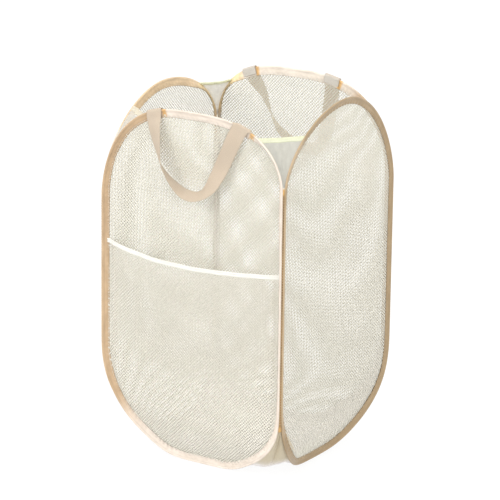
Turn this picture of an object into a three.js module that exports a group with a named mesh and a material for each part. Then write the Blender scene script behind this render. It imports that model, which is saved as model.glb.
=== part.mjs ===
import * as THREE from 'three';

// Pop up laundry hamper: four oblong spring-wire loops with net panels, sewn
// to each other down their straight sides, with a cloth base, four cloth
// corner gussets at the rim, two webbing handles and a net pocket in front.
// Millimetres, +Z up. Front is -Y, right is +X. Resting plane is z = 0.

// ---- driving dimensions ----
const WIDTH_X = 354.5;            // between the side seams, left to right
const WIDTH_Y = 340.8;            // between the seams, front to back
const SEAM_INSET = 3.6;           // loop edge to seam line
const TOP_Z = { A: 605.8, B: 622.5, C: 602.8, D: 613.7 };      // loop tops
const V_TOP = { N: 500.2, L: 441.3, R: 451.8, F: 506.5 };      // straight side ends
const V_BOT = { N: 103.6, L: 177.3, R: 150.9, F: 62.4 };
const ARC_POWER = { A: [2.827, 1.918, 2.084, 1.7], B: [1.9, 1.7, 2.06, 1.71] };
const BOW_TOP = { A: -4.6, B: 6.7, C: -8.3, D: -15.0 };        // outward lean of the rim
const BOW_BOT = { A: -36.3, B: -40.2, C: -40.2, D: -36.3 };    // base pulls the lower arcs in
const BOW_TOP_POWER = 2.19;
const BOW_BOT_POWER = 2.69;
const FOOT_HALF = 45;             // straight resting length of each lower arc, half
const TAPE_WIDTH = 13;            // binding, folded over the wire
const WIRE_DEPTH = 1.45;          // wire centre below the loop's outer edge
const WIRE_R = 0.75;
const JOINT_Z = 300;              // crimped wire joint, up the straight side
const JOINER_LENGTH = 11.4;
const NET_HALF = 0.24;            // half thickness of a net panel
const NET_EDGE = 5;               // net edge inside the binding
const CLOTH_HALF = 0.4;
const HEM_GUSSET = 6;             // gusset hem height
const GUSSET_TOP = { N: [582.5, 584.0], L: [590, 575], R: [584, 578], F: [576.8, 576.5] };
const POCKET_HEM = 8;
const STRAP_WIDTH = 28;
const STRAP_HALF = 0.7;
const STRAP_FRONT_U = [-72.8, 96.8];
const STRAP_REAR_U = [-104, 62];
const NET_COLUMNS = 5;
const BASE_Z = 2.2;
// Pocket mouth, along the front panel: (u, z) of the hem's upper edge.
const POCKET_MOUTH = [[-165, 369], [-103, 359], [-48, 354], [7, 352], [61, 354], [115, 358], [165, 362]];
// Strap centre lines: x, distance out from the panel's plane, z, and how far the
// width is turned out of the panel, in degrees.
const FRONT_PATH = [[-73.2, -0.9, 596.5, 0], [-72.3, 0, 586, -4], [-68.8, 3.6, 570, -16], [-63.2, 7, 552.8, -27], [-58.7, 9.6, 540.4, -37], [-54.6, 11.7, 528.2, -46],
  [-51.3, 12.9, 519.1, -51], [-46.9, 13.9, 511.9, -58], [-37.5, 15.1, 501.3, -67], [-25.1, 15.4, 489.4, -80], [-11.3, 15.4, 479.2, -93], [2.3, 15.4, 473.5, -105],
  [16.8, 15.2, 472.6, -114], [30.6, 13.6, 477.6, -126], [42.6, 9.6, 489.6, -150], [53.5, 5.3, 509.5, -168], [62.6, 2.6, 529.5, -176], [72, 1.4, 551, -180],
  [82, 0.6, 573.5, -180], [94.3, -0.9, 594.2, -180]];
const REAR_PATH = [[-104, -7.3, 598.2, 0], [-100.5, -5, 585.7, -3], [-93.8, -1, 573.2, -11], [-87.4, 3.6, 559.5, -22], [-82.7, 8, 544.7, -35], [-78.7, 10.9, 530.7, -45],
  [-73.6, 14, 516.7, -60], [-64.6, 15.4, 502.1, -73], [-51.2, 15.5, 489.2, -85], [-34.9, 15.5, 478.5, -95], [-16.7, 15.4, 472, -107], [2.2, 14.1, 471.4, -123],
  [19, 10.8, 477.5, -143], [32, 6.4, 491.5, -163], [41, 2.8, 511, -174], [47, 1.4, 534, -180], [51.5, -1, 558.8, -180], [56.3, -5, 583.6, -180], [62, -10.7, 609.3, -180]];
const CENTRE = [-3.257, -0.068];  // moves the middle of the whole box onto the origin

// Which corner is at the low-u and high-u side of each panel.
const SIDES = { A: ['L', 'N'], B: ['N', 'R'], C: ['L', 'F'], D: ['F', 'R'] };
const HALF = { A: WIDTH_X / 2, B: WIDTH_Y / 2, C: WIDTH_Y / 2, D: WIDTH_X / 2 };
const KIND = { A: 'A', B: 'B', C: 'B', D: 'A' };

const V3 = (x, y, z) => new THREE.Vector3(x, y, z);
const smooth = (t) => { const x = Math.min(1, Math.max(0, t)); return x * x * (3 - 2 * x); };
const mix = (a, b, t) => a + (b - a) * t;

// ---- materials ----
const steel = new THREE.MeshStandardMaterial({ color: 0x9a9b9c, roughness: 0.35, metalness: 0.9 });
const tan = new THREE.MeshStandardMaterial({ color: 0xcfae80, roughness: 0.45, metalness: 0 });
const net = new THREE.MeshStandardMaterial({ color: 0xf1ecdc, roughness: 0.7, metalness: 0 });
const cloth = new THREE.MeshStandardMaterial({ color: 0xe4e4da, roughness: 0.85, metalness: 0 });
const hem = new THREE.MeshStandardMaterial({ color: 0xe2e2bf, roughness: 0.8, metalness: 0 });
const whiteTape = new THREE.MeshStandardMaterial({ color: 0xf7f4ec, roughness: 0.75, metalness: 0 });
const webbing = new THREE.MeshStandardMaterial({ color: 0xdccbb6, roughness: 0.9, metalness: 0 });

// ---- panel geometry ----
// A point of panel k at height z and distance u along it, d proud of it.
function lean(k, u, z) {
  const a = HALF[k] - SEAM_INSET;
  const s = Math.min(1, Math.max(0, (u / a + 1) / 2));
  const [l, r] = SIDES[k];
  const zt = mix(V_TOP[l], V_TOP[r], s), zb = mix(V_BOT[l], V_BOT[r], s);
  const top = { A: 605.8, B: 622.5, C: 602.8, D: 613.7 }[k];
  if (z > zt) return BOW_TOP[k] * Math.pow(Math.min(1, (z - zt) / (top - zt)), BOW_TOP_POWER);
  if (z < zb) return BOW_BOT[k] * Math.pow(Math.min(1, (zb - z) / zb), BOW_BOT_POWER);
  return 0;
}
function place(k, u, n, z) {
  if (k === 'A') return V3(u, -WIDTH_Y / 2 - n, z);
  if (k === 'D') return V3(u, WIDTH_Y / 2 + n, z);
  if (k === 'B') return V3(WIDTH_X / 2 + n, u, z);
  return V3(-WIDTH_X / 2 - n, u, z);
}
const OUT = { A: V3(0, -1, 0), D: V3(0, 1, 0), B: V3(1, 0, 0), C: V3(-1, 0, 0) };
const onPanel = (k, u, z, d = 0) => place(k, u, lean(k, u, z) + d, z);

// Outer edge of the loop on one side (sign -1 or 1), as (u, z); t runs 0..1
// over the lower arc from the foot, and over the upper arc to the top.
function lowerArc(k, sign, t) {
  const a = HALF[k] - SEAM_INSET, v = V_BOT[SIDES[k][sign < 0 ? 0 : 1]];
  const [, , p, q] = ARC_POWER[KIND[k]];
  const th0 = Math.acos(Math.pow(FOOT_HALF / a, p / 2));
  const th = th0 * (1 - t), c = Math.cos(th), s = Math.sin(th);
  const u = a * Math.pow(c, 2 / p);
  const z = v * (1 - Math.pow(s, 2 / q)) * smooth((u - FOOT_HALF) / 55);
  return [sign * u, z];
}
function upperArc(k, sign, t) {
  const a = HALF[k] - SEAM_INSET, v = V_TOP[SIDES[k][sign < 0 ? 0 : 1]];
  const [p, q] = ARC_POWER[KIND[k]];
  const th = Math.PI / 2 * t, c = Math.max(0, Math.cos(th)), s = Math.sin(th);
  return [sign * a * Math.pow(c, 2 / p), v + (TOP_Z[k] - v) * Math.pow(s, 2 / q)];
}
// The upper or lower arc's u at a height, for what is sewn along it.
function edgeU(k, sign, z, upper) {
  let lo = 0, hi = 1;
  const arc = upper ? upperArc : lowerArc;
  for (let i = 0; i < 50; i++) {
    const m = (lo + hi) / 2;
    if (arc(k, sign, m)[1] < z) lo = m; else hi = m;
  }
  return arc(k, sign, (lo + hi) / 2)[0];
}
const LOW = [0, 0.13, 0.26, 0.39, 0.52, 0.65, 0.77, 0.89, 1];
const HIGH = [0, 0.16, 0.3, 0.43, 0.55, 0.67, 0.79, 0.9];
function side(k, sign) {
  const pts = LOW.map((t) => lowerArc(k, sign, t));
  const a = sign * (HALF[k] - SEAM_INSET), corner = SIDES[k][sign < 0 ? 0 : 1];
  for (const z of [JOINT_Z - 6, JOINT_Z + 6]) pts.push([a, z]);
  for (const t of HIGH) pts.push(upperArc(k, sign, t));
  return pts;
}
// Stations of a loop: outer edge point, direction into the panel, outward
// direction. Order is up the right side, the top, then down the left side.
function stations(k) {
  const right = side(k, 1), left = side(k, -1);
  const ring = [...right, upperArc(k, 1, 1), ...left.slice().reverse()];
  const n = ring.length;
  return ring.map(([u, z], i) => {
    const [u0, z0] = ring[(i + n - 1) % n], [u1, z1] = ring[(i + 1) % n];
    let tx = u1 - u0, tz = z1 - z0;
    if (i === 0 || i === n - 1) { tx = i === 0 ? 1 : 1; tz = 0; }
    const l = Math.hypot(tx, tz); tx /= l; tz /= l;
    const nu = -tz, nz = tx;
    const p = onPanel(k, u, z), q = onPanel(k, u + 14 * nu, z + 14 * nz);
    const e = q.clone().sub(p).normalize();
    const du = 1.5;
    const t3 = onPanel(k, u + du * tx, z + du * tz).sub(onPanel(k, u - du * tx, z - du * tz)).normalize();
    let m = new THREE.Vector3().crossVectors(t3, e).normalize();
    if (m.dot(OUT[k]) < 0) m.negate();
    return { u, z, p, e, m, foot: i === 0 || i === n - 1 };
  });
}
const ST = Object.fromEntries('ABCD'.split('').map((k) => [k, stations(k)]));
const at = (s, depth, height) => {
  const v = s.p.clone().addScaledVector(s.e, depth).addScaledVector(s.m, height);
  v.z = Math.max(0, v.z);
  return v;
};

// ---- mesh helpers ----
function solid(vertices, faces, outwardCheck = true) {
  const g = new THREE.BufferGeometry();
  const pos = new Float32Array(vertices.length * 3);
  vertices.forEach((v, i) => pos.set([v.x, v.y, v.z], 3 * i));
  let vol = 0;
  for (const [a, b, c] of faces) vol += vertices[a].dot(new THREE.Vector3().crossVectors(vertices[b], vertices[c]));
  const idx = vol < 0 && outwardCheck ? faces.map(([a, b, c]) => [a, c, b]) : faces;
  g.setAttribute('position', new THREE.BufferAttribute(pos, 3));
  g.setIndex(idx.flat());
  g.computeVertexNormals();
  return g;
}
// Skins a row of equal sections; closed joins the last to the first. From edge `turn` of the
// section on, the quads are cut along their other diagonal, so that the two faces of a folded
// tape's thin walls stay parallel where the tape twists.
function loft(sections, closed, turn = Infinity) {
  const n = sections[0].length, verts = sections.flat(), faces = [], m = sections.length;
  for (let i = 0; i < (closed ? m : m - 1); i++) {
    const a = i * n, b = ((i + 1) % m) * n;
    for (let j = 0; j < n; j++) {
      const k = (j + 1) % n;
      if (j < turn) faces.push([a + j, a + k, b + k], [a + j, b + k, b + j]);
      else faces.push([a + j, a + k, b + j], [a + k, b + k, b + j]);
    }
  }
  if (!closed) {
    const cap = (base, flip) => {
      for (let j = 1; j < n - 1; j++) faces.push(flip ? [base, base + j, base + j + 1] : [base, base + j + 1, base + j]);
    };
    cap(0, false); cap((m - 1) * n, true);
  }
  return solid(verts, faces);
}
// A thin plate over a grid of points, with a unit normal at each.
function plate(grid, normals, half) {
  const rows = grid.length, cols = grid[0].length, verts = [], faces = [];
  const id = (r, c, s) => (r * cols + c) * 2 + s;
  for (let r = 0; r < rows; r++) for (let c = 0; c < cols; c++) {
    verts.push(grid[r][c].clone().addScaledVector(normals[r][c], half));
    verts.push(grid[r][c].clone().addScaledVector(normals[r][c], -half));
  }
  const quad = (a, b, c, d) => { faces.push([a, b, c], [a, c, d]); };
  for (let r = 0; r < rows - 1; r++) for (let c = 0; c < cols - 1; c++) {
    quad(id(r, c, 0), id(r, c + 1, 0), id(r + 1, c + 1, 0), id(r + 1, c, 0));
    quad(id(r, c, 1), id(r + 1, c, 1), id(r + 1, c + 1, 1), id(r, c + 1, 1));
  }
  for (let c = 0; c < cols - 1; c++) {
    quad(id(0, c, 0), id(0, c, 1), id(0, c + 1, 1), id(0, c + 1, 0));
    quad(id(rows - 1, c, 0), id(rows - 1, c + 1, 0), id(rows - 1, c + 1, 1), id(rows - 1, c, 1));
  }
  for (let r = 0; r < rows - 1; r++) {
    quad(id(r, 0, 0), id(r + 1, 0, 0), id(r + 1, 0, 1), id(r, 0, 1));
    quad(id(r, cols - 1, 0), id(r, cols - 1, 1), id(r + 1, cols - 1, 1), id(r + 1, cols - 1, 0));
  }
  return solid(verts, faces);
}
const group = new THREE.Group();
group.position.set(CENTRE[0], CENTRE[1], 0);
function add(name, geometry, material) {
  const mesh = new THREE.Mesh(geometry, material);
  mesh.name = name;
  group.add(mesh);
}

// ---- the four loops ----
const NAME = { A: 'front', B: 'right', C: 'left', D: 'rear' };
const BINDING = [[TAPE_WIDTH, 1.12], [1.9, 1.55], [0, 1.05], [0, -1.05], [1.9, -1.55], [TAPE_WIDTH, -1.12],
  [TAPE_WIDTH, -0.78], [1.9, -1.2], [0.42, -0.8], [0.42, 0.8], [1.9, 1.2], [TAPE_WIDTH, 0.78]];
const hexagon = (r) => [0, 1, 2, 3, 4, 5].map((i) => [WIRE_DEPTH + r * Math.cos(i * Math.PI / 3), r * Math.sin(i * Math.PI / 3)]);

for (const k of ['A', 'B', 'C', 'D']) {
  const st = ST[k], n = st.length, half = (n - 1) / 2;
  add(`${NAME[k]}_edge_binding`, loft(st.map((s) => {
    const sec = BINDING.map(([d, h]) => at(s, d, h));
    if (s.foot) { sec[2].z = 0; sec[3].z = 0; }
    return sec;
  }), true, 6), tan);

  // The wire is one length, its ends meeting in a crimped sleeve.
  const up = LOW.length, down = up + 1;
  const order = [];
  for (let i = 0; i <= n - 1; i++) order.push((down + i) % n);
  const ring = order.map((i) => hexagon(WIRE_R).map(([d, h]) => at(st[i], d, h)));
  add(`${NAME[k]}_spring_wire`, loft(ring, false), steel);
  const lo = st[up], hi = st[down], gap = (hi.z - lo.z - JOINER_LENGTH) / 2;
  const sleeve = [lo.z + gap, hi.z - gap].map((z) => [0, 1, 2, 3, 4, 5, 6, 7].map((i) => {
    const a = i * Math.PI / 4 + Math.PI / 8;
    const v = at(lo, WIRE_DEPTH + 0.85 * Math.cos(a), 0.85 * Math.sin(a));
    v.z = z;
    return v;
  }));
  add(`${NAME[k]}_wire_joiner`, loft(sleeve, false), steel);

  // Net panel: a band under the binding, then rows from side to side.
  const verts = [], faces = [];
  const put = (p, m) => { verts.push(p.clone().addScaledVector(m, NET_HALF), p.clone().addScaledVector(m, -NET_HALF)); return verts.length / 2 - 1; };
  const tri = (a, b, c) => { faces.push([2 * a, 2 * b, 2 * c], [2 * a + 1, 2 * c + 1, 2 * b + 1]); };
  const quad = (a, b, c, d) => { tri(a, b, c); tri(a, c, d); };
  const outer = st.map((s) => put(at(s, NET_EDGE, 0), s.m));
  const ringPoint = st.map((s) => at(s, 14, 0));
  const inner = st.map((s, i) => put(ringPoint[i], s.m));
  const uz = (p) => (k === 'A' || k === 'D' ? [p.x, p.z] : [p.y, p.z]);
  const rows = [];
  for (let j = 0; j < half; j++) {
    const r = ringPoint[j], l = ringPoint[n - 1 - j], row = [inner[n - 1 - j]];
    const [u0, z0] = uz(l), [u1, z1] = uz(r);
    for (let c = 1; c < NET_COLUMNS; c++) {
      const t = c / NET_COLUMNS, u = mix(u0, u1, t), z = mix(z0, z1, t);
      if (j === 0) { row.push(put(l.clone().lerp(r, t), st[0].m.clone().lerp(st[n - 1].m, 1 - t).normalize())); continue; }
      const du = onPanel(k, u + 2, z).sub(onPanel(k, u - 2, z)), dz = onPanel(k, u, z + 2).sub(onPanel(k, u, z - 2));
      const m = new THREE.Vector3().crossVectors(du, dz).normalize();
      if (m.dot(OUT[k]) < 0) m.negate();
      row.push(put(onPanel(k, u, z), m));
    }
    row.push(inner[j]);
    rows.push(row);
  }
  for (let i = 0; i < n - 1; i++) quad(outer[i], outer[i + 1], inner[i + 1], inner[i]);
  for (let i = 0; i < n; i++) {
    const a = 2 * outer[i], b = 2 * outer[(i + 1) % n];
    faces.push([b, a, a + 1], [b, a + 1, b + 1]);
  }
  // the straight strip over the foot, then the rows, then the tip under the top
  const foot = rows[0], mid = Math.floor(NET_COLUMNS / 2);
  for (let c = 0; c < NET_COLUMNS; c++) tri(c < mid ? outer[n - 1] : outer[0], foot[c + 1], foot[c]);
  tri(outer[n - 1], outer[0], foot[mid]);
  for (let j = 0; j < rows.length - 1; j++) for (let c = 0; c < NET_COLUMNS; c++)
    quad(rows[j][c], rows[j][c + 1], rows[j + 1][c + 1], rows[j + 1][c]);
  const tip = inner[half], last = rows[rows.length - 1];
  for (let c = 0; c < NET_COLUMNS; c++) tri(last[c], last[c + 1], tip);
  add(`${NAME[k]}_net_panel`, solid(verts, faces), net);
}

// ---- corner seams: the bindings of two loops are sewn to each other ----
const CORNER = { N: [1, -1], L: [-1, -1], R: [1, 1], F: [-1, 1] };
const CORNER_NAME = { N: 'front_right', L: 'front_left', R: 'rear_right', F: 'rear_left' };
for (const c of ['N', 'L', 'R', 'F']) {
  const x = CORNER[c][0] * WIDTH_X / 2, y = CORNER[c][1] * WIDTH_Y / 2;
  const ends = [V_BOT[c] + 6, V_TOP[c] - 6].map((z) => [0, 1, 2, 3, 4, 5].map((i) => V3(x + 0.9 * Math.cos(i * Math.PI / 3), y + 0.9 * Math.sin(i * Math.PI / 3), z)));
  add(`${CORNER_NAME[c]}_corner_seam`, loft(ends, false), tan);
}

// ---- gussets: cloth across each notch at the rim, with a folded hem ----
// Each corner's two panels, and which side of each panel the corner is on.
const MEETS = { N: [['A', 1], ['B', -1]], L: [['A', -1], ['C', -1]], R: [['B', 1], ['D', 1]], F: [['D', -1], ['C', 1]] };
function notchPoint(k, sign, z, away) {
  const u = edgeU(k, sign, z, true), du = edgeU(k, sign, z + 1, true) - edgeU(k, sign, z - 1, true);
  const l = Math.hypot(du, 2);
  return onPanel(k, u + sign * away * 2 / l, z + away * Math.abs(du) / l);
}
function gussetGrid(c, t0, t1, rows, away, dip) {
  const [[k0, s0], [k1, s1]] = MEETS[c], zv = V_TOP[c] + 9, [h0, h1] = GUSSET_TOP[c];
  const grid = [], inward = V3(-CORNER[c][0], -CORNER[c][1], 0).normalize();
  for (let r = 0; r <= rows; r++) {
    const t = mix(t0, t1, r / rows);
    const a = notchPoint(k0, s0, mix(zv, h0, t), away), b = notchPoint(k1, s1, mix(zv, h1, t), away);
    grid.push([0, 0.25, 0.5, 0.75, 1].map((f) => a.clone().lerp(b, f).addScaledVector(inward, dip * t * Math.sin(Math.PI * f))));
  }
  const side = V3().crossVectors(grid[rows][4].clone().sub(grid[rows][0]), V3(0, 0, 1)).normalize();
  if (side.dot(inward) > 0) side.negate();
  return [grid, grid.map((row) => row.map(() => side))];
}
for (const c of ['N', 'L', 'R', 'F']) {
  const hemShare = (HEM_GUSSET + 0.4) / (GUSSET_TOP[c][0] - V_TOP[c] - 9);
  add(`${CORNER_NAME[c]}_gusset`, plate(...gussetGrid(c, 0, 1 - hemShare, 6, 0.8, 3), CLOTH_HALF), cloth);
  add(`${CORNER_NAME[c]}_gusset_hem`, plate(...gussetGrid(c, 1 - hemShare + 0.4 * hemShare / HEM_GUSSET, 1, 1, 1.4, 3), 0.8), hem);
}

// ---- base sheet: laps up inside the lower bindings, tips rise at the corners ----
{
  const rim = [];
  const walk = (k, sign, up) => {
    const st = ST[k], n = st.length;
    const ids = LOW.map((_, j) => (sign > 0 ? j : n - 1 - j));
    if (!up) ids.reverse();
    for (const i of ids) rim.push(st[i]);
  };
  walk('A', 1, true); walk('B', -1, false); walk('B', 1, true); walk('D', 1, false);
  walk('D', -1, true); walk('C', 1, false); walk('C', -1, true); walk('A', -1, false);
  const rings = [];
  const lap = rim.map((s) => at(s, 15, -2.0)), edge = rim.map((s) => at(s, 2.6, -3.1));
  rings.push(lap, edge);
  for (const s of [0.92, 0.83, 0.72, 0.6, 0.5]) {
    rings.push(edge.map((p) => V3(p.x * s, p.y * s, BASE_Z + (p.z - BASE_Z) * Math.pow(Math.max(0, (s - 0.5) / 0.5), 2.2))));
  }
  const m = rim.length, verts = [], faces = [];
  const normalAt = (r, i) => {
    if (r === 0) return rim[i].m.clone().negate();
    const a = rings[r][(i + 1) % m].clone().sub(rings[r][(i + m - 1) % m]);
    const b = rings[Math.min(rings.length - 1, r + 1)][i].clone().sub(rings[r === 1 ? 1 : r - 1][i]);
    const c = new THREE.Vector3().crossVectors(a, b).normalize();
    if (c.z < 0) c.negate();
    if (r === 1) c.addScaledVector(rim[i].m, -0.8).normalize();
    return c;
  };
  rings.forEach((ring, r) => ring.forEach((p, i) => {
    const q = normalAt(r, i);
    verts.push(p.clone().addScaledVector(q, CLOTH_HALF), p.clone().addScaledVector(q, -CLOTH_HALF));
  }));
  const top = verts.push(V3(0, 0, BASE_Z + CLOTH_HALF), V3(0, 0, BASE_Z - CLOTH_HALF)) - 2;
  const id = (r, i, s) => (r * m + (i % m)) * 2 + s;
  for (let r = 0; r < rings.length - 1; r++) for (let i = 0; i < m; i++) {
    faces.push([id(r, i, 0), id(r, i + 1, 0), id(r + 1, i + 1, 0)], [id(r, i, 0), id(r + 1, i + 1, 0), id(r + 1, i, 0)]);
    faces.push([id(r, i, 1), id(r + 1, i + 1, 1), id(r, i + 1, 1)], [id(r, i, 1), id(r + 1, i, 1), id(r + 1, i + 1, 1)]);
  }
  const e = rings.length - 1;
  for (let i = 0; i < m; i++) {
    faces.push([id(e, i, 0), id(e, i + 1, 0), top], [id(e, i, 1), top + 1, id(e, i + 1, 1)]);
    faces.push([id(0, i, 0), id(0, i, 1), id(0, i + 1, 1)], [id(0, i, 0), id(0, i + 1, 1), id(0, i + 1, 0)]);
  }
  add('base_sheet', solid(verts, faces), cloth);
}

// ---- front pocket: a second net layer, open at the top under a white hem ----
{
  const st = ST.A, n = st.length;
  const mouth = (u) => POCKET_MOUTH.find(([x], i) => i + 1 === POCKET_MOUTH.length || u <= POCKET_MOUTH[i + 1][0]);
  const mouthZ = (u) => {
    const [x0] = mouth(u), i = Math.min(POCKET_MOUTH.length - 2, POCKET_MOUTH.findIndex(([x]) => x === x0));
    const [a, za] = POCKET_MOUTH[i], [b, zb] = POCKET_MOUTH[i + 1];
    return mix(za, zb, (u - a) / (b - a));
  };
  const a = HALF.A - SEAM_INSET - TAPE_WIDTH - 0.9;
  const flare = (u, z, zm) => {
    const f = Math.max(0, 1 - Math.pow(Math.abs(u) / a, 3));
    return 1.25 + 9 * f * Math.pow(smooth(1 - (zm - z) / 230), 0.8);
  };
  // Rows follow the loop's own side points, then two rows in the straight part.
  const levels = [];
  for (let j = 0; j < LOW.length; j++) {
    const r = at(st[j], 14.2, 0), l = at(st[n - 1 - j], 14.2, 0);
    levels.push((t) => [mix(l.x, r.x, t), mix(l.z, r.z, t)]);
  }
  const topLevel = (f) => (t) => {
    const u = mix(-a, a, t), zt = mouthZ(u) - POCKET_HEM - 0.4;
    const r = at(st[LOW.length - 1], 14.2, 0), l = at(st[n - LOW.length], 14.2, 0);
    return [u, mix(mix(l.z, r.z, t), zt, f)];
  };
  levels.push(topLevel(0.35), topLevel(0.7), topLevel(1));
  const cols = 8, grid = [], normals = [];
  levels.forEach((level, j) => {
    const row = [], nr = [];
    for (let c = 0; c <= cols; c++) {
      const t = c / cols, [u, z] = level(t), d = flare(u, z, mouthZ(u));
      if (j < LOW.length && (c === 0 || c === cols)) {
        const s = c === 0 ? st[n - 1 - j] : st[j];
        row.push(at(s, 14.2, d)); nr.push(s.m.clone()); continue;
      }
      const q = onPanel('A', u, z, 0);
      const m = new THREE.Vector3().crossVectors(onPanel('A', u + 2, z).sub(onPanel('A', u - 2, z)), onPanel('A', u, z + 2).sub(onPanel('A', u, Math.max(0, z - 2)))).normalize();
      if (m.dot(OUT.A) < 0) m.negate();
      row.push(q.addScaledVector(m, d)); nr.push(m);
    }
    grid.push(row); normals.push(nr);
  });
  add('pocket_net', plate(grid, normals, NET_HALF), net);
  const band = [[], []], bn = [[], []];
  for (let c = 0; c <= cols; c++) {
    const u = mix(-a, a, c / cols), zm = mouthZ(u);
    [zm - POCKET_HEM, zm].forEach((z, r) => { band[r].push(onPanel('A', u, z, flare(u, z, zm) + 0.45)); bn[r].push(OUT.A); });
  }
  add('pocket_hem', plate(band, bn, 0.7), whiteTape);
}

// ---- handles: webbing sewn inside the rim, folded over it to hang outside ----
function sewnEnd(k, u, name) {
  const grid = [], normals = [];
  for (const du of [-STRAP_WIDTH / 2, 0, STRAP_WIDTH / 2]) {
    const sign = u + du < 0 ? -1 : 1;
    let lo = 0, hi = 1;
    for (let i = 0; i < 40; i++) { const m = (lo + hi) / 2; if (Math.abs(upperArc(k, sign, m)[0]) > Math.abs(u + du)) lo = m; else hi = m; }
    const [uu, z] = upperArc(k, sign, lo), [u1, z1] = upperArc(k, sign, Math.min(1, lo + 0.02)), [u0, z0] = upperArc(k, sign, lo - 0.02);
    let tx = u1 - u0, tz = z1 - z0; const l = Math.hypot(tx, tz); tx /= l; tz /= l;
    const nu = sign < 0 ? tz : -tz, nz = sign < 0 ? -tx : tx;
    const p = onPanel(k, uu, z), e = onPanel(k, uu + 14 * nu, z + 14 * nz).sub(p).normalize();
    const m = OUT[k].clone();
    m.addScaledVector(e, -m.dot(e)).normalize();
    grid.push([5.8, 9, 12.4].map((d) => p.clone().addScaledVector(e, d).addScaledVector(m, -2.55)));
    normals.push([m, m, m]);
  }
  add(name, plate(grid, normals, 0.6), webbing);
}
function strap(path, k, name) {
  const out = OUT[k], flip = k === 'D' ? 1 : -1;
  const centre = path.map(([x, y, z]) => V3(x, flip * (WIDTH_Y / 2 + y), z));
  const rimLine = V3(centre[0].x, 0, centre[0].z).sub(V3(centre[centre.length - 1].x, 0, centre[centre.length - 1].z)).normalize();
  const sections = centre.map((p, i) => {
    const t = centre[Math.min(i + 1, centre.length - 1)].clone().sub(centre[Math.max(0, i - 1)]).normalize();
    const flat = new THREE.Vector3().crossVectors(t, out).normalize();
    const psi = path[i][3] * Math.PI / 180;
    let w = flat.multiplyScalar(Math.cos(psi)).addScaledVector(out, Math.sin(psi));
    w.addScaledVector(t, -w.dot(t)).normalize();
    if (i === 0 || i === centre.length - 1) w = rimLine.clone().multiplyScalar(Math.sign(w.dot(rimLine)));
    const h = new THREE.Vector3().crossVectors(t, w).normalize();
    const W = STRAP_WIDTH / 2, H = STRAP_HALF;
    return [[W, H], [W, -H], [-W, -H], [-W, H]].map(([a, b]) => p.clone().addScaledVector(w, a).addScaledVector(h, b));
  });
  add(name, loft(sections, false), webbing);
}
sewnEnd('A', STRAP_FRONT_U[0], 'front_handle_sewn_end_left');
sewnEnd('A', STRAP_FRONT_U[1], 'front_handle_sewn_end_right');
sewnEnd('D', STRAP_REAR_U[0], 'rear_handle_sewn_end_left');
sewnEnd('D', STRAP_REAR_U[1], 'rear_handle_sewn_end_right');
strap(FRONT_PATH, 'A', 'front_handle_strap');
strap(REAR_PATH, 'D', 'rear_handle_strap');

export default group;
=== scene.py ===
"""Pop up laundry hamper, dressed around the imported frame. Lengths are in millimetres in the
making and in metres on the meshes; +Z up, -Y the front, +X the right."""
import math

import bpy
import numpy as np
from mathutils import Matrix, Vector


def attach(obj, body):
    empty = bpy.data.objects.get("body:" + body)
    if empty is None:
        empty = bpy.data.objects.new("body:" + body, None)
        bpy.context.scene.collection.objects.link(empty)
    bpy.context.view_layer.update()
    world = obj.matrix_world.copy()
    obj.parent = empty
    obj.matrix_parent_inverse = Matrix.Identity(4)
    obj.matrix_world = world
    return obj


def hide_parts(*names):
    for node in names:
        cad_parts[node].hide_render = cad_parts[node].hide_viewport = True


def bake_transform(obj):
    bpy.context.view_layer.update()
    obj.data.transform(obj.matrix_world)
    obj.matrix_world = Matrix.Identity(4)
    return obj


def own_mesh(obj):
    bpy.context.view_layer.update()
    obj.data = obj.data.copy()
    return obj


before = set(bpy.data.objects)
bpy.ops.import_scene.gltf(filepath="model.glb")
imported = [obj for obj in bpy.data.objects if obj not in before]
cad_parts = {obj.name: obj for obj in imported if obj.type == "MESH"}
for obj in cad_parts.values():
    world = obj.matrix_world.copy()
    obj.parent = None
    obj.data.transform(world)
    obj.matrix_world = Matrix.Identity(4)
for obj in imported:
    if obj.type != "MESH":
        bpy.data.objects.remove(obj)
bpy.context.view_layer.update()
scene = bpy.context.scene
RNG = np.random.default_rng(11)

# ---------------------------------------------------------------- the frame's dimensions
WIDTH_X, WIDTH_Y, SEAM_INSET = 354.5, 340.8, 3.6
TOP_Z = {"A": 605.8, "B": 622.5, "C": 602.8, "D": 613.7}
V_TOP = {"N": 500.2, "L": 441.3, "R": 451.8, "F": 506.5}
V_BOT = {"N": 103.6, "L": 177.3, "R": 150.9, "F": 62.4}
ARC_POWER = {"A": (2.827, 1.918, 2.084, 1.7), "B": (1.9, 1.7, 2.06, 1.71)}
BOW_TOP = {"A": -4.6, "B": 6.7, "C": -8.3, "D": -15.0}
BOW_BOT = {"A": -36.3, "B": -40.2, "C": -40.2, "D": -36.3}
BOW_TOP_POWER, BOW_BOT_POWER = 2.19, 2.69
FOOT_HALF = 45.0
TAPE_WIDTH = 13.0
GUSSET_TOP = {"N": (582.5, 584.0), "L": (590, 575), "R": (584, 578), "F": (576.8, 576.5)}
HEM_GUSSET, POCKET_HEM = 6.0, 8.0
STRAP_WIDTH, STRAP_HALF = 28.0, 0.7
STRAP_FRONT_U, STRAP_REAR_U = (-72.8, 96.8), (-104.0, 62.0)
BASE_Z = 2.2
POCKET_MOUTH = [(-165, 369), (-103, 359), (-48, 354), (7, 352), (61, 354), (115, 358), (165, 362)]
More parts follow.
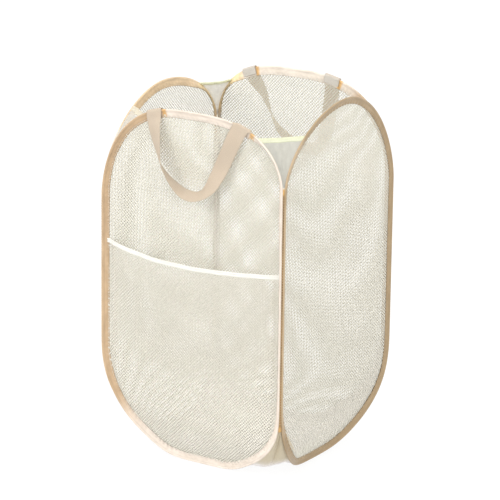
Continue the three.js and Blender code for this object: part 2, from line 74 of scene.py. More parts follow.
FRONT_PATH = [(-73.2, -0.9, 596.5, 0), (-72.3, 0, 586, -4), (-68.8, 3.6, 570, -16), (-63.2, 7, 552.8, -27), (-58.7, 9.6, 540.4, -37),
    (-54.6, 11.7, 528.2, -46), (-51.3, 12.9, 519.1, -51), (-46.9, 13.9, 511.9, -58), (-37.5, 15.1, 501.3, -67), (-25.1, 15.4, 489.4, -80),
    (-11.3, 15.4, 479.2, -93), (2.3, 15.4, 473.5, -105), (16.8, 15.2, 472.6, -114), (30.6, 13.6, 477.6, -126), (42.6, 9.6, 489.6, -150),
    (53.5, 5.3, 509.5, -168), (62.6, 2.6, 529.5, -176), (72, 1.4, 551, -180), (82, 0.6, 573.5, -180), (94.3, -0.9, 594.2, -180)]
REAR_PATH = [(-104, -7.3, 598.2, 0), (-100.5, -5, 585.7, -3), (-93.8, -1, 573.2, -11), (-87.4, 3.6, 559.5, -22), (-82.7, 8, 544.7, -35),
    (-78.7, 10.9, 530.7, -45), (-73.6, 14, 516.7, -60), (-64.6, 15.4, 502.1, -73), (-51.2, 15.5, 489.2, -85), (-34.9, 15.5, 478.5, -95),
    (-16.7, 15.4, 472, -107), (2.2, 14.1, 471.4, -123), (19, 10.8, 477.5, -143), (32, 6.4, 491.5, -163), (41, 2.8, 511, -174),
    (47, 1.4, 534, -180), (51.5, -1, 558.8, -180), (56.3, -5, 583.6, -180), (62, -10.7, 609.3, -180)]
CENTRE = np.array([-3.257, -0.068, 0.0])
SIDES = {"A": ("L", "N"), "B": ("N", "R"), "C": ("L", "F"), "D": ("F", "R")}
HALF = {"A": WIDTH_X / 2, "B": WIDTH_Y / 2, "C": WIDTH_Y / 2, "D": WIDTH_X / 2}
KIND = {"A": "A", "B": "B", "C": "B", "D": "A"}
NAME = {"A": "front", "B": "right", "C": "left", "D": "rear"}
BODY = {"A": "front_panel", "B": "right_panel", "C": "left_panel", "D": "rear_panel"}
OUT = {"A": np.array([0, -1.0, 0]), "D": np.array([0, 1.0, 0]), "B": np.array([1.0, 0, 0]), "C": np.array([-1.0, 0, 0])}
CORNER = {"N": (1, -1), "L": (-1, -1), "R": (1, 1), "F": (-1, 1)}
CORNER_NAME = {"N": "front_right", "L": "front_left", "R": "rear_right", "F": "rear_left"}
MEETS = {"N": (("A", 1), ("B", -1)), "L": (("A", -1), ("C", -1)), "R": (("B", 1), ("D", 1)), "F": (("D", -1), ("C", 1))}
BEAD = 1.75          # radius of the tape where it wraps the wire
SNUG = 1.4           # how far the sewing draws neighbouring loops towards each other


def smooth(t):
    t = np.clip(t, 0.0, 1.0)
    return t * t * (3 - 2 * t)


def unit(v):
    v = np.asarray(v, float)
    return v / np.maximum(np.linalg.norm(v, axis=-1, keepdims=True), 1e-12)


# ---------------------------------------------------------------- camera, light and floor
def make_camera():
    az, el, roll = map(math.radians, (32.979, 17.191, 0.725))
    back = Vector((math.sin(az) * math.cos(el), -math.cos(az) * math.cos(el), math.sin(el)))
    fwd = -back
    right = fwd.cross(Vector((0, 0, 1))).normalized()
    up = right.cross(fwd)
    r2 = right * math.cos(roll) + up * math.sin(roll)
    u2 = -right * math.sin(roll) + up * math.cos(roll)
    data = bpy.data.cameras.new("camera")
    cam = bpy.data.objects.new("camera", data)
    scene.collection.objects.link(cam)
    rot = Matrix((r2, u2, back)).transposed().to_4x4()
    cam.matrix_world = Matrix.Translation(Vector((-0.003257, -0.000068, 0.281679)) + back * 5.4175) @ rot
    data.sensor_width, data.lens = 36.0, 234.34
    data.shift_x, data.shift_y = 0.00526, 0.0623
    data.clip_start, data.clip_end = 0.1, 100.0
    scene.camera = cam


make_camera()
scene.view_settings.view_transform = "Standard"
scene.view_settings.look = "None"
world = bpy.data.worlds.new("studio")
scene.world = world
world.use_nodes = True
world.node_tree.nodes["Background"].inputs["Color"].default_value = (1.0, 0.995, 0.985, 1)
world.node_tree.nodes["Background"].inputs["Strength"].default_value = 1.13


def sun(name, direction, strength, angle, color=(1, 1, 1)):
    data = bpy.data.lights.new(name, "SUN")
    data.energy, data.angle, data.color = strength, math.radians(angle), color
    o = bpy.data.objects.new(name, data)
    scene.collection.objects.link(o)
    o.rotation_mode = "QUATERNION"
    o.rotation_quaternion = Vector(direction).normalized().to_track_quat("Z", "Y")


sun("key", (-0.50, -0.78, 0.46), 1.46, 20, (1.0, 0.99, 0.97))
sun("fill", (0.80, -0.50, 0.38), 1.00, 40, (0.98, 0.99, 1.0))
sun("top", (0.05, -0.20, 1.0), 0.60, 50, (1.0, 1.0, 1.0))


# ---------------------------------------------------------------- materials
class Nodes:
    def __init__(self, name):
        self.m = bpy.data.materials.new(name)
        self.m.use_nodes = True
        self.t = self.m.node_tree
        self.t.nodes.clear()
        self.out = self.t.nodes.new("ShaderNodeOutputMaterial")

    def n(self, kind, inputs=None, **props):
        node = self.t.nodes.new(kind)
        for k, v in props.items():
            setattr(node, k, v)
        for k, v in (inputs or {}).items():
            if isinstance(v, tuple) and len(v) == 2 and hasattr(v[0], "outputs"):
                self.t.links.new(v[0].outputs[v[1]], node.inputs[k])
            else:
                node.inputs[k].default_value = v
        return node

    def coords(self, scale=(1, 1, 1), shift=(0, 0, 0)):
        a = self.n("ShaderNodeAttribute", attribute_name="tc")
        return self.n("ShaderNodeMapping", {"Vector": (a, "Vector"), "Scale": scale, "Location": shift}, vector_type="POINT")

    def noise(self, co, scale, detail=3.0, rough=0.55):
        return self.n("ShaderNodeTexNoise", {"Vector": (co, "Vector"), "Scale": scale, "Detail": detail, "Roughness": rough})

    def wave(self, co, scale, direction="X", distortion=0.0, detail=1.0, profile="SIN"):
        return self.n("ShaderNodeTexWave", {"Vector": (co, "Vector"), "Scale": scale, "Distortion": distortion, "Detail": detail},
                      bands_direction=direction, wave_profile=profile)

    def maths(self, op, a, b):
        return self.n("ShaderNodeMath", {0: a, 1: b}, operation=op)

    def ramp(self, src, lo, hi, c0, c1):
        r = self.n("ShaderNodeValToRGB", {"Fac": src})
        r.color_ramp.elements[0].position, r.color_ramp.elements[1].position = lo, hi
        r.color_ramp.elements[0].color, r.color_ramp.elements[1].color = (*c0, 1), (*c1, 1)
        return r

    def mixc(self, fac, a, b, blend="MIX"):
        x = self.n("ShaderNodeMix", data_type="RGBA", blend_type=blend)
        for key, v in ((0, fac), (6, a), (7, b)):
            if isinstance(v, tuple) and len(v) == 2 and hasattr(v[0], "outputs"):
                self.t.links.new(v[0].outputs[v[1]], x.inputs[key])
            else:
                x.inputs[key].default_value = v if key == 0 else (*v, 1)
        return x

    def finish(self, color, rough, height=None, strength=0.4, distance=0.0003, sheen=0.0, spec=0.5, metal=0.0, aniso=0.0, through=None,
               through_color=None, coat=0.0, sheer=None):
        b = self.n("ShaderNodeBsdfPrincipled")
        b.inputs["Metallic"].default_value = metal
        b.inputs["Sheen Weight"].default_value = sheen
        b.inputs["Sheen Roughness"].default_value = 0.4
        b.inputs["Specular IOR Level"].default_value = spec
        b.inputs["Anisotropic"].default_value = aniso
        b.inputs["Coat Weight"].default_value = coat
        for key, v in (("Base Color", color), ("Roughness", rough)):
            if isinstance(v, tuple) and len(v) == 2 and hasattr(v[0], "outputs"):
                self.t.links.new(v[0].outputs[v[1]], b.inputs[key])
            else:
                b.inputs[key].default_value = v if key == "Roughness" else (*v, 1)
        bump = None
        if height is not None:
            bump = self.n("ShaderNodeBump", {"Height": height, "Strength": strength, "Distance": distance})
            self.t.links.new(bump.outputs["Normal"], b.inputs["Normal"])
        if through is None:
            self.t.links.new(b.outputs["BSDF"], self.out.inputs["Surface"])
        else:
            tr = self.n("ShaderNodeBsdfTranslucent")
            if through_color is not None:
                tr.inputs["Color"].default_value = (*through_color, 1)
            elif isinstance(color, tuple) and len(color) == 2 and hasattr(color[0], "outputs"):
                self.t.links.new(color[0].outputs[color[1]], tr.inputs["Color"])
            mixs = self.n("ShaderNodeMixShader", {0: through})
            self.t.links.new(b.outputs["BSDF"], mixs.inputs[1])
            self.t.links.new(tr.outputs["BSDF"], mixs.inputs[2])
            if sheer is not None:
                clear = self.n("ShaderNodeBsdfTransparent", {"Color": (0.97, 0.965, 0.95, 1)})
                veil = self.n("ShaderNodeMixShader", {0: sheer})
                self.t.links.new(mixs.outputs["Shader"], veil.inputs[1])
                self.t.links.new(clear.outputs["BSDF"], veil.inputs[2])
                mixs = veil
            self.t.links.new(mixs.outputs["Shader"], self.out.inputs["Surface"])
        return self.m


def net_material(name, light, dark):
    k = Nodes(name)
    big, yarn = k.noise(k.coords((0.02, 0.02, 0.02)), 1.0, 2.0), k.noise(k.coords((1, 1, 1)), 1.6, 4.0, 0.65)
    tone = k.mixc((big, "Fac"), light, dark)
    fleck = k.ramp((yarn, "Fac"), 0.25, 0.75, (0.86, 0.855, 0.84), (1, 1, 1))
    # the yarn crosses itself and lies in its own shade at the knots, and catches the light along the holes' rims
    at = k.n("ShaderNodeSeparateXYZ", {"Vector": (k.n("ShaderNodeAttribute", attribute_name="tc"), "Vector")})
    high = k.n("ShaderNodeMath", {0: (at, "Z")}, operation="ABSOLUTE")
    loop = k.ramp((high, "Value"), 0.02, 0.80, (1.10, 1.10, 1.10), (0.68, 0.67, 0.64))
    col = k.mixc(0.8, (tone, 2), (fleck, "Color"), "MULTIPLY")
    col = k.mixc(1.0, (col, 2), (loop, "Color"), "MULTIPLY")
    rough = k.ramp((yarn, "Fac"), 0.2, 0.8, (0.5,) * 3, (0.68,) * 3)
    return k.finish((col, 2), (rough, "Color"), (yarn, "Fac"), 0.5, 0.0002, sheen=0.25, through=0.06)


def satin_material():
    # Satin tape: fine floats along the tape; its tone, painted sheen highlights and painted shade included, is carried
    # by the piece itself.
    k = Nodes("satin_tape")
    tint = k.n("ShaderNodeAttribute", attribute_name="tint")
    floats = k.wave(k.coords((1, 0.02, 1)), 1.9, "X", 2.5, 2.0)
    slub = k.noise(k.coords((0.55, 0.05, 1)), 1.0, 4.0, 0.6)
    patch = k.noise(k.coords((0.10, 0.035, 1)), 1.0, 3.0, 0.5)
    a = k.ramp((patch, "Fac"), 0.30, 0.70, (0.84, 0.82, 0.79), (1.06, 1.06, 1.05))
    b = k.ramp((slub, "Fac"), 0.25, 0.75, (0.93, 0.92, 0.90), (1.03, 1.03, 1.03))
    col = k.mixc(1.0, (tint, "Color"), (a, "Color"), "MULTIPLY")
    col = k.mixc(1.0, (col, 2), (b, "Color"), "MULTIPLY")
    h = k.maths("ADD", (floats, "Fac"), (slub, "Fac"))
    rough = k.ramp((slub, "Fac"), 0.2, 0.8, (0.33,) * 3, (0.47,) * 3)
    return k.finish((col, 2), (rough, "Color"), (h, "Value"), 0.35, 0.00015, sheen=0.12, spec=0.5, through=0.16)


def cloth_material(name, light, dark, through=0.35, scale=2.1, sheer=None, tinted=False):
    # Thin plain weave, lightly creased; it lets light through.
    k = Nodes(name)
    co = k.coords()
    warp, weft = k.wave(co, scale, "X", 0.6, 2.0), k.wave(co, scale, "Y", 0.6, 2.0)
    weave = k.maths("MULTIPLY", (warp, "Fac"), (weft, "Fac"))
    patch, crumple = k.noise(k.coords((0.03, 0.03, 0.03)), 1.0, 4.0), k.noise(k.coords((0.12, 0.12, 0.12)), 1.0, 5.0, 0.6)
    tone = k.mixc((patch, "Fac"), light, dark)
    shade = k.ramp((crumple, "Fac"), 0.3, 0.7, (0.93, 0.93, 0.925), (1.02, 1.02, 1.02))
    col = k.mixc(1.0, (tone, 2), (shade, "Color"), "MULTIPLY")
    if tinted:
        edge = k.n("ShaderNodeAttribute", attribute_name="tint")
        col = k.mixc(1.0, (col, 2), (edge, "Color"), "MULTIPLY")
    height = k.maths("ADD", (k.maths("MULTIPLY", (weave, "Value"), 0.25), "Value"), (k.maths("MULTIPLY", (crumple, "Fac"), 3.0), "Value"))
    rough = k.ramp((crumple, "Fac"), 0.2, 0.8, (0.62,) * 3, (0.82,) * 3)
    return k.finish((col, 2), (rough, "Color"), (height, "Value"), 0.5, 0.0006, sheen=0.2, through=through, sheer=sheer)


def webbing_material():
    # Woven strap: staggered ribs across the width, a plain selvedge, a slightly dusty matte tone.
    k = Nodes("webbing")
    co = k.coords()
    rib = k.wave(k.coords((1, 1, 1)), 0.62, "Y", 0.35, 2.0)
    cord = k.wave(k.coords((1, 1, 1)), 0.80, "X", 0.25, 2.0)
    diag = k.wave(k.coords((1, 1, 1)), 0.45, "DIAGONAL", 0.2, 1.0)
    h = k.maths("ADD", (k.maths("MULTIPLY", (rib, "Fac"), (cord, "Fac")), "Value"), (k.maths("MULTIPLY", (diag, "Fac"), 0.35), "Value"))
    fuzz, patch = k.noise(co, 1.1, 5.0, 0.7), k.noise(k.coords((0.04, 0.03, 1)), 1.0, 3.0)
    tone = k.mixc((patch, "Fac"), (0.850, 0.740, 0.610), (0.800, 0.685, 0.550))
    # painted shade: darker in the weave's low points
    dark = k.ramp((h, "Value"), 0.1, 0.9, (0.90, 0.89, 0.87), (1.04, 1.04, 1.04))
    fleck = k.ramp((fuzz, "Fac"), 0.3, 0.7, (0.95, 0.95, 0.95), (1.03, 1.03, 1.03))
    edge = k.n("ShaderNodeAttribute", attribute_name="tint")
    col = k.mixc(1.0, (tone, 2), (dark, "Color"), "MULTIPLY")
    col = k.mixc(1.0, (col, 2), (fleck, "Color"), "MULTIPLY")
    col = k.mixc(1.0, (col, 2), (edge, "Color"), "MULTIPLY")
    return k.finish((col, 2), 0.86, (h, "Value"), 0.6, 0.0005, sheen=0.3, spec=0.25, through=0.38)


def tape_material(name, color, rib=1.4, spec=0.35, through=0.12):
    k = Nodes(name)
    ribs = k.wave(k.coords(), rib, "Y", 0.4, 2.0)
    fuzz, patch = k.noise(k.coords(), 1.2, 4.0, 0.65), k.noise(k.coords((0.05, 0.05, 1)), 1.0, 3.0)
    a = k.ramp((patch, "Fac"), 0.3, 0.7, tuple(c * 0.93 for c in color), color)
    # painted shade: darker between the ribs
    b = k.ramp((ribs, "Fac"), 0.0, 1.0, (0.93, 0.93, 0.92), (1.02, 1.02, 1.02))
    col = k.mixc(1.0, (a, "Color"), (b, "Color"), "MULTIPLY")
    h = k.maths("ADD", (ribs, "Fac"), (fuzz, "Fac"))
    return k.finish((col, 2), 0.72, (h, "Value"), 0.4, 0.0003, sheen=0.25, spec=spec, through=through)


def thread_material(name, color):
    k = Nodes(name)
    twist = k.wave(k.coords((1, 1, 1)), 2.2, "DIAGONAL", 0.3, 1.0)
    # painted shade: darker in the twist's grooves
    c = k.ramp((twist, "Fac"), 0.1, 0.9, tuple(x * 0.72 for x in color), color)
    return k.finish((c, "Color"), 0.55, (twist, "Fac"), 0.5, 0.0002, sheen=0.2)


def steel_material():
    k = Nodes("spring_steel_looks")
    a = k.n("ShaderNodeTexCoord")
    co = k.n("ShaderNodeMapping", {"Vector": (a, "Object"), "Scale": (300, 300, 12)})
    draw = k.noise(co, 1.0, 4.0, 0.6)
    c = k.ramp((draw, "Fac"), 0.3, 0.7, (0.36, 0.36, 0.365), (0.62, 0.62, 0.61))
    r = k.ramp((draw, "Fac"), 0.2, 0.8, (0.25,) * 3, (0.42,) * 3)
    return k.finish((c, "Color"), (r, "Color"), (draw, "Fac"), 0.2, 0.0001, metal=1.0)


def floor_material():
    k = Nodes("pale_floor")
    a = k.n("ShaderNodeTexCoord")
    grain = k.noise(k.n("ShaderNodeMapping", {"Vector": (a, "Object"), "Scale": (3, 3, 3)}), 1.0, 2.0)
    c = k.ramp((grain, "Fac"), 0.3, 0.7, (0.135, 0.135, 0.134), (0.145, 0.145, 0.144))
    m = k.finish((c, "Color"), 0.9, spec=0.0)
    b = next(n for n in k.t.nodes if n.type == "BSDF_PRINCIPLED")
    b.inputs["Emission Color"].default_value = (1, 1, 1, 1)
    b.inputs["Emission Strength"].default_value = 0.865
    return m


NET = net_material("net_cream", (0.945, 0.920, 0.825), (0.918, 0.892, 0.790))
# painted light: the pocket's net is a lighter copy of the cream net, lifting its double layer out of the shade the
# layers cast
NET_POCKET_LIT = net_material("net_pocket_lit", (1.0, 0.975, 0.890), (0.985, 0.950, 0.860))
SATIN = satin_material()
PLAIN = cloth_material("plain_gusset_cloth", (0.670, 0.660, 0.605), (0.63, 0.62, 0.565), 0.46)
PLAIN_SHEER = cloth_material("plain_gusset_cloth_sheer", (0.88, 0.87, 0.83), (0.84, 0.83, 0.79), 0.45, sheer=0.55)
# painted light: a lighter copy of the gusset cloth for the rear left corner, whose gusset is seen from inside, in shade
PLAIN_REAR_LIT = cloth_material("plain_gusset_cloth_rear_lit", (0.880, 0.870, 0.840), (0.855, 0.845, 0.81), 0.64)
BASEMAT = cloth_material("plain_base_cloth", (0.945, 0.905, 0.885), (0.915, 0.875, 0.843), 0.22, tinted=True)
HEM = tape_material("gusset_hem_cloth", (0.70, 0.715, 0.52))
# painted light: a lighter copy of the hem cloth for the rear left corner, lifting its shade
HEM_REAR_LIT = tape_material("gusset_hem_cloth_rear_lit", (0.96, 0.97, 0.80), through=0.6)
HEM_SHEER = tape_material("gusset_hem_cloth_left", (0.86, 0.80, 0.66), through=0.4)
WHITE = tape_material("pocket_tape_white", (0.845, 0.825, 0.770))
WEB = webbing_material()
THREAD_TAN = thread_material("thread_tan", (0.60, 0.45, 0.27))
THREAD_PALE = thread_material("thread_pale", (0.86, 0.82, 0.74))
STEEL = steel_material()

bpy.ops.mesh.primitive_plane_add(size=60, location=(0, 0, -0.0004))
floor = bpy.context.object
floor.name = "floor"
floor.data.materials.append(floor_material())


# ---------------------------------------------------------------- mesh helpers
def make(name, V, F, mat, body=None, replaces=(), tc=None, tint=None, smooth_shade=True):
    """V in mm about the seams' centre; F a list of index arrays, triangles or quads."""
    V = (np.asarray(V, float) + CENTRE) * 0.001
    F = [np.asarray(f, np.int64) for f in (F if isinstance(F, list) else [F]) if len(f)]
    sizes = np.concatenate([np.full(len(f), f.shape[1]) for f in F])
    loops = np.concatenate([f.ravel() for f in F])
    # faces outward: the signed volume decides
    vol = 0.0
    for f in F:
        for j in range(1, f.shape[1] - 1):
            vol += np.einsum("ij,ij->i", V[f[:, 0]], np.cross(V[f[:, j]], V[f[:, j + 1]])).sum()
    if vol < 0:
        loops = np.concatenate([f[:, ::-1].ravel() for f in F])
    me = bpy.data.meshes.new(name)
    me.vertices.add(len(V))
    me.vertices.foreach_set("co", V.astype(np.float32).ravel())
    me.loops.add(len(loops))
    me.loops.foreach_set("vertex_index", loops.astype(np.int32))
    me.polygons.add(len(sizes))
    me.polygons.foreach_set("loop_start", np.concatenate([[0], np.cumsum(sizes)[:-1]]).astype(np.int32))
    me.update(calc_edges=True)
    me.polygons.foreach_set("use_smooth", np.full(len(sizes), smooth_shade))
    tcv = V * 1000 if tc is None else np.asarray(tc, float)
    if tcv.shape[1] == 2:
        tcv = np.column_stack([tcv, np.zeros(len(tcv))])
    at = me.attributes.new("tc", "FLOAT_VECTOR", "POINT")
    at.data.foreach_set("vector", tcv.astype(np.float32).ravel())
    if tint is not None:
        c = np.ones((len(V), 4), np.float32)
        c[:, :3] = tint
        at = me.attributes.new("tint", "FLOAT_COLOR", "POINT")
        at.data.foreach_set("color", c.ravel())
    me.update()
    o = bpy.data.objects.new(name, me)
    scene.collection.objects.link(o)
    me.materials.append(mat)
    if body:
        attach(o, body)
    if replaces:
        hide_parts(*replaces)
    return o


def tube_faces(rows, cols, close_rows=False, close_cols=True):
    """Quads over a rows x cols lattice of points, row after row."""
    r = np.arange(rows if close_rows else rows - 1)
    c = np.arange(cols if close_cols else cols - 1)
    R, C = np.meshgrid(r, c, indexing="ij")
    R, C = R.ravel(), C.ravel()
    R1, C1 = (R + 1) % rows, (C + 1) % cols
    return np.column_stack([R * cols + C, R * cols + C1, R1 * cols + C1, R1 * cols + C])


def fan_cap(ring, flip):
    n = len(ring)
    tri = np.column_stack([np.full(n - 2, ring[0]), ring[1:-1], ring[2:]])
    return tri[:, ::-1] if flip else tri


def grid_normals(P):
    du = np.gradient(P, axis=1)
    dv = np.gradient(P, axis=0)
    return unit(np.cross(du, dv))


def slab(P, half, N=None):
    """A thin closed sheet over a grid of points P (rows, cols, 3)."""
    rows, cols = P.shape[:2]
    N = grid_normals(P) if N is None else N
    half = np.broadcast_to(np.asarray(half, float), (rows, cols))[..., None]
    V = np.concatenate([(P + N * half).reshape(-1, 3), (P - N * half).reshape(-1, 3)])
    top = tube_faces(rows, cols, False, False)
    n = rows * cols
    bot = top[:, ::-1] + n
    idx = np.arange(n).reshape(rows, cols)
    border = np.concatenate([idx[0], idx[1:, -1], idx[-1, -2::-1], idx[-2:0:-1, 0]])
    nxt = np.roll(border, -1)
    side = np.column_stack([nxt, border, border + n, nxt + n])
    return V, [top, bot, side]


def thread_bits(points, along, up, length, width=0.30, height=0.16):
    """Short stitches: little closed spindles lying along `along`, standing `up` from a face."""
    prof = np.array([[-0.5, 0.25], [-0.3, 1.0], [0.3, 1.0], [0.5, 0.25]])
    sec = np.array([[1, 0], [0.5, 0.87], [-0.5, 0.87], [-1, 0], [-0.5, -0.87], [0.5, -0.87]])
    side = unit(np.cross(along, up))
    n = len(points)
    L = np.broadcast_to(np.asarray(length, float), (n,))
    V = (points[:, None, None] + along[:, None, None] * (prof[:, 0][None, :, None, None] * L[:, None, None, None])
         + side[:, None, None] * (sec[:, 0][None, None, :, None] * prof[:, 1][None, :, None, None] * width)
         + up[:, None, None] * (sec[:, 1][None, None, :, None] * prof[:, 1][None, :, None, None] * height))
    f = tube_faces(4, 6)
    caps = np.concatenate([fan_cap(np.arange(6), True), fan_cap(np.arange(18, 24), False)])
    off = (np.arange(n) * 24)[:, None, None]
    tcs = np.broadcast_to(np.stack([sec[None, :, 0] * 0.5 + 0 * prof[:, :1], prof[:, :1] * 2.6 + 0 * sec[None, :, 0]], -1)[None], (n, 4, 6, 2))
    return V.reshape(-1, 3), [(f[None] + off).reshape(-1, 4), (caps[None] + off).reshape(-1, 3)], tcs.reshape(-1, 2)


def field1(n, corr, seed, closed=True):
    """Smooth random values along n steps, correlated over corr steps, about unit size."""
    g = np.random.default_rng(seed).normal(size=n)
    x = np.minimum(np.arange(n), n - np.arange(n)) if closed else np.arange(n) - n // 2
    kern = np.exp(-0.5 * (x / corr) ** 2)
    if not closed:
        kern = np.roll(kern, -(n // 2))
    f = np.fft.irfft(np.fft.rfft(g) * np.fft.rfft(kern), n)
    return f / (f.std() + 1e-9)


def field2(u, v, seed, size, octaves=3):
    """Smooth random heights over a plane, from a few sine waves in random directions."""
    r = np.random.default_rng(seed)
    out = np.zeros(np.broadcast(u, v).shape)
    for o in range(octaves):
        for _ in range(5):
            a, ph = r.uniform(0, 2 * np.pi), r.uniform(0, 2 * np.pi)
            w = 2 * np.pi / (size / 1.8 ** o) * r.uniform(0.7, 1.3)
            out = out + np.sin(w * (u * np.cos(a) + v * np.sin(a)) + ph) / 1.7 ** o
    return out / 2.2


# ---------------------------------------------------------------- the panels' surfaces
def lean(k, u, z):
    a = HALF[k] - SEAM_INSET
    s = np.clip((u / a + 1) / 2, 0, 1)
    l, r = SIDES[k]
    zt = V_TOP[l] + (V_TOP[r] - V_TOP[l]) * s
    zb = V_BOT[l] + (V_BOT[r] - V_BOT[l]) * s
    up = np.clip((z - zt) / (TOP_Z[k] - zt), 0, 1)
    dn = np.clip((zb - z) / zb, 0, 1)
    return BOW_TOP[k] * up ** BOW_TOP_POWER + BOW_BOT[k] * dn ** BOW_BOT_POWER


def place(k, u, n, z):
    u, n, z = np.broadcast_arrays(u, n, z)
    if k == "A":
        return np.stack([u, -WIDTH_Y / 2 - n, z], -1)
    if k == "D":
        return np.stack([u, WIDTH_Y / 2 + n, z], -1)
    if k == "B":
        return np.stack([WIDTH_X / 2 + n, u, z], -1)
    return np.stack([-WIDTH_X / 2 - n, u, z], -1)


def on_panel(k, u, z, d=0.0):
    return place(k, u, lean(k, u, z) + d, z)


def panel_normal(k, u, z):
    du = on_panel(k, u + 2, z) - on_panel(k, u - 2, z)
    dz = on_panel(k, u, z + 2) - on_panel(k, u, z - 2)
    m = unit(np.cross(du, dz))
    return m * np.sign((m @ OUT[k]))[..., None]


def lower_arc(k, sign, t):
    a, v = HALF[k] - SEAM_INSET, V_BOT[SIDES[k][0 if sign < 0 else 1]]
    p, q = ARC_POWER[KIND[k]][2:]
    th = math.acos((FOOT_HALF / a) ** (p / 2)) * (1 - t)
    u = a * np.cos(th) ** (2 / p)
    return sign * u, v * (1 - np.sin(th) ** (2 / q)) * smooth((u - FOOT_HALF) / 55)


def upper_arc(k, sign, t):
    a, v = HALF[k] - SEAM_INSET, V_TOP[SIDES[k][0 if sign < 0 else 1]]
    p, q = ARC_POWER[KIND[k]][:2]
    th = np.pi / 2 * t
    return sign * a * np.maximum(0, np.cos(th)) ** (2 / p), v + (TOP_Z[k] - v) * np.sin(th) ** (2 / q)


T = np.linspace(0, 1, 900)
T_TOP = 1 - (1 - np.linspace(0, 1, 900)) ** 1.6


def resample(P, n, closed=True, *others):
    Q = np.concatenate([P, P[:1]]) if closed else P
    s = np.concatenate([[0], np.cumsum(np.linalg.norm(np.diff(Q, axis=0), axis=1))])
    at = np.linspace(0, s[-1], n + 1)[:-1] if closed else np.linspace(0, s[-1], n)
    return at, s[-1], [np.stack([np.interp(at, s, np.concatenate([o, o[:1]])[:, i] if closed else o[:, i]) for i in range(o.shape[1])], 1) for o in others]


def turn_field(k, u, z):
    """How far the tape is rolled into the hamper, in degrees, round each loop."""
    r, l = (u > 0), (u < 0)
    if k == "A":
        right = np.interp(z, (0, 20, 45, 75, 110, 160, 350, 400, 450, 500, 540, 575, 592), (42, 32, 24, 26, 42, 50, 50, 44, 36, 40, 50, 46, 30))
        left = np.interp(z, (0, 22, 70, 120, 200, 430, 530, 580), (42, 38, 30, 26, 26, 30, 33, 24))
        out = np.where(r, right, left)
        out = np.where((np.abs(u) < 114) & (z > 560), 6.0, out)
    elif k == "B":
        right = np.interp(z, (0, 21, 70, 120, 400), (48, 46, 30, 12, 9))
        left = np.interp(z, (0, 9, 25, 45, 73, 100, 150, 400, 480, 520, 560, 590, 605), (46, 20, 4, -4, 2, 20, 30, 31, 26, 20, 14, 14, 8))
        out = np.where(r, right, left)
    elif k == "C":
        right = np.interp(z, (0, 60, 150, 400, 460, 515, 530, 551, 574, 586, 596), (40, 20, 26, 26, 20, 20, 34, 46, 58, 34, 12))
        out = np.where(r, right, np.interp(z, (0, 60, 150, 560, 590), (40, 24, 16, 16, 14)))
    else:
        left = np.interp(z, (0, 60, 150, 400, 460, 520, 539, 574, 588, 597), (40, 20, 42, 42, 36, 36, 52, 66, 44, 20))
        out = np.where(r, np.interp(z, (0, 60, 150, 560, 590), (40, 24, 12, 12, 16)), left)
    return out


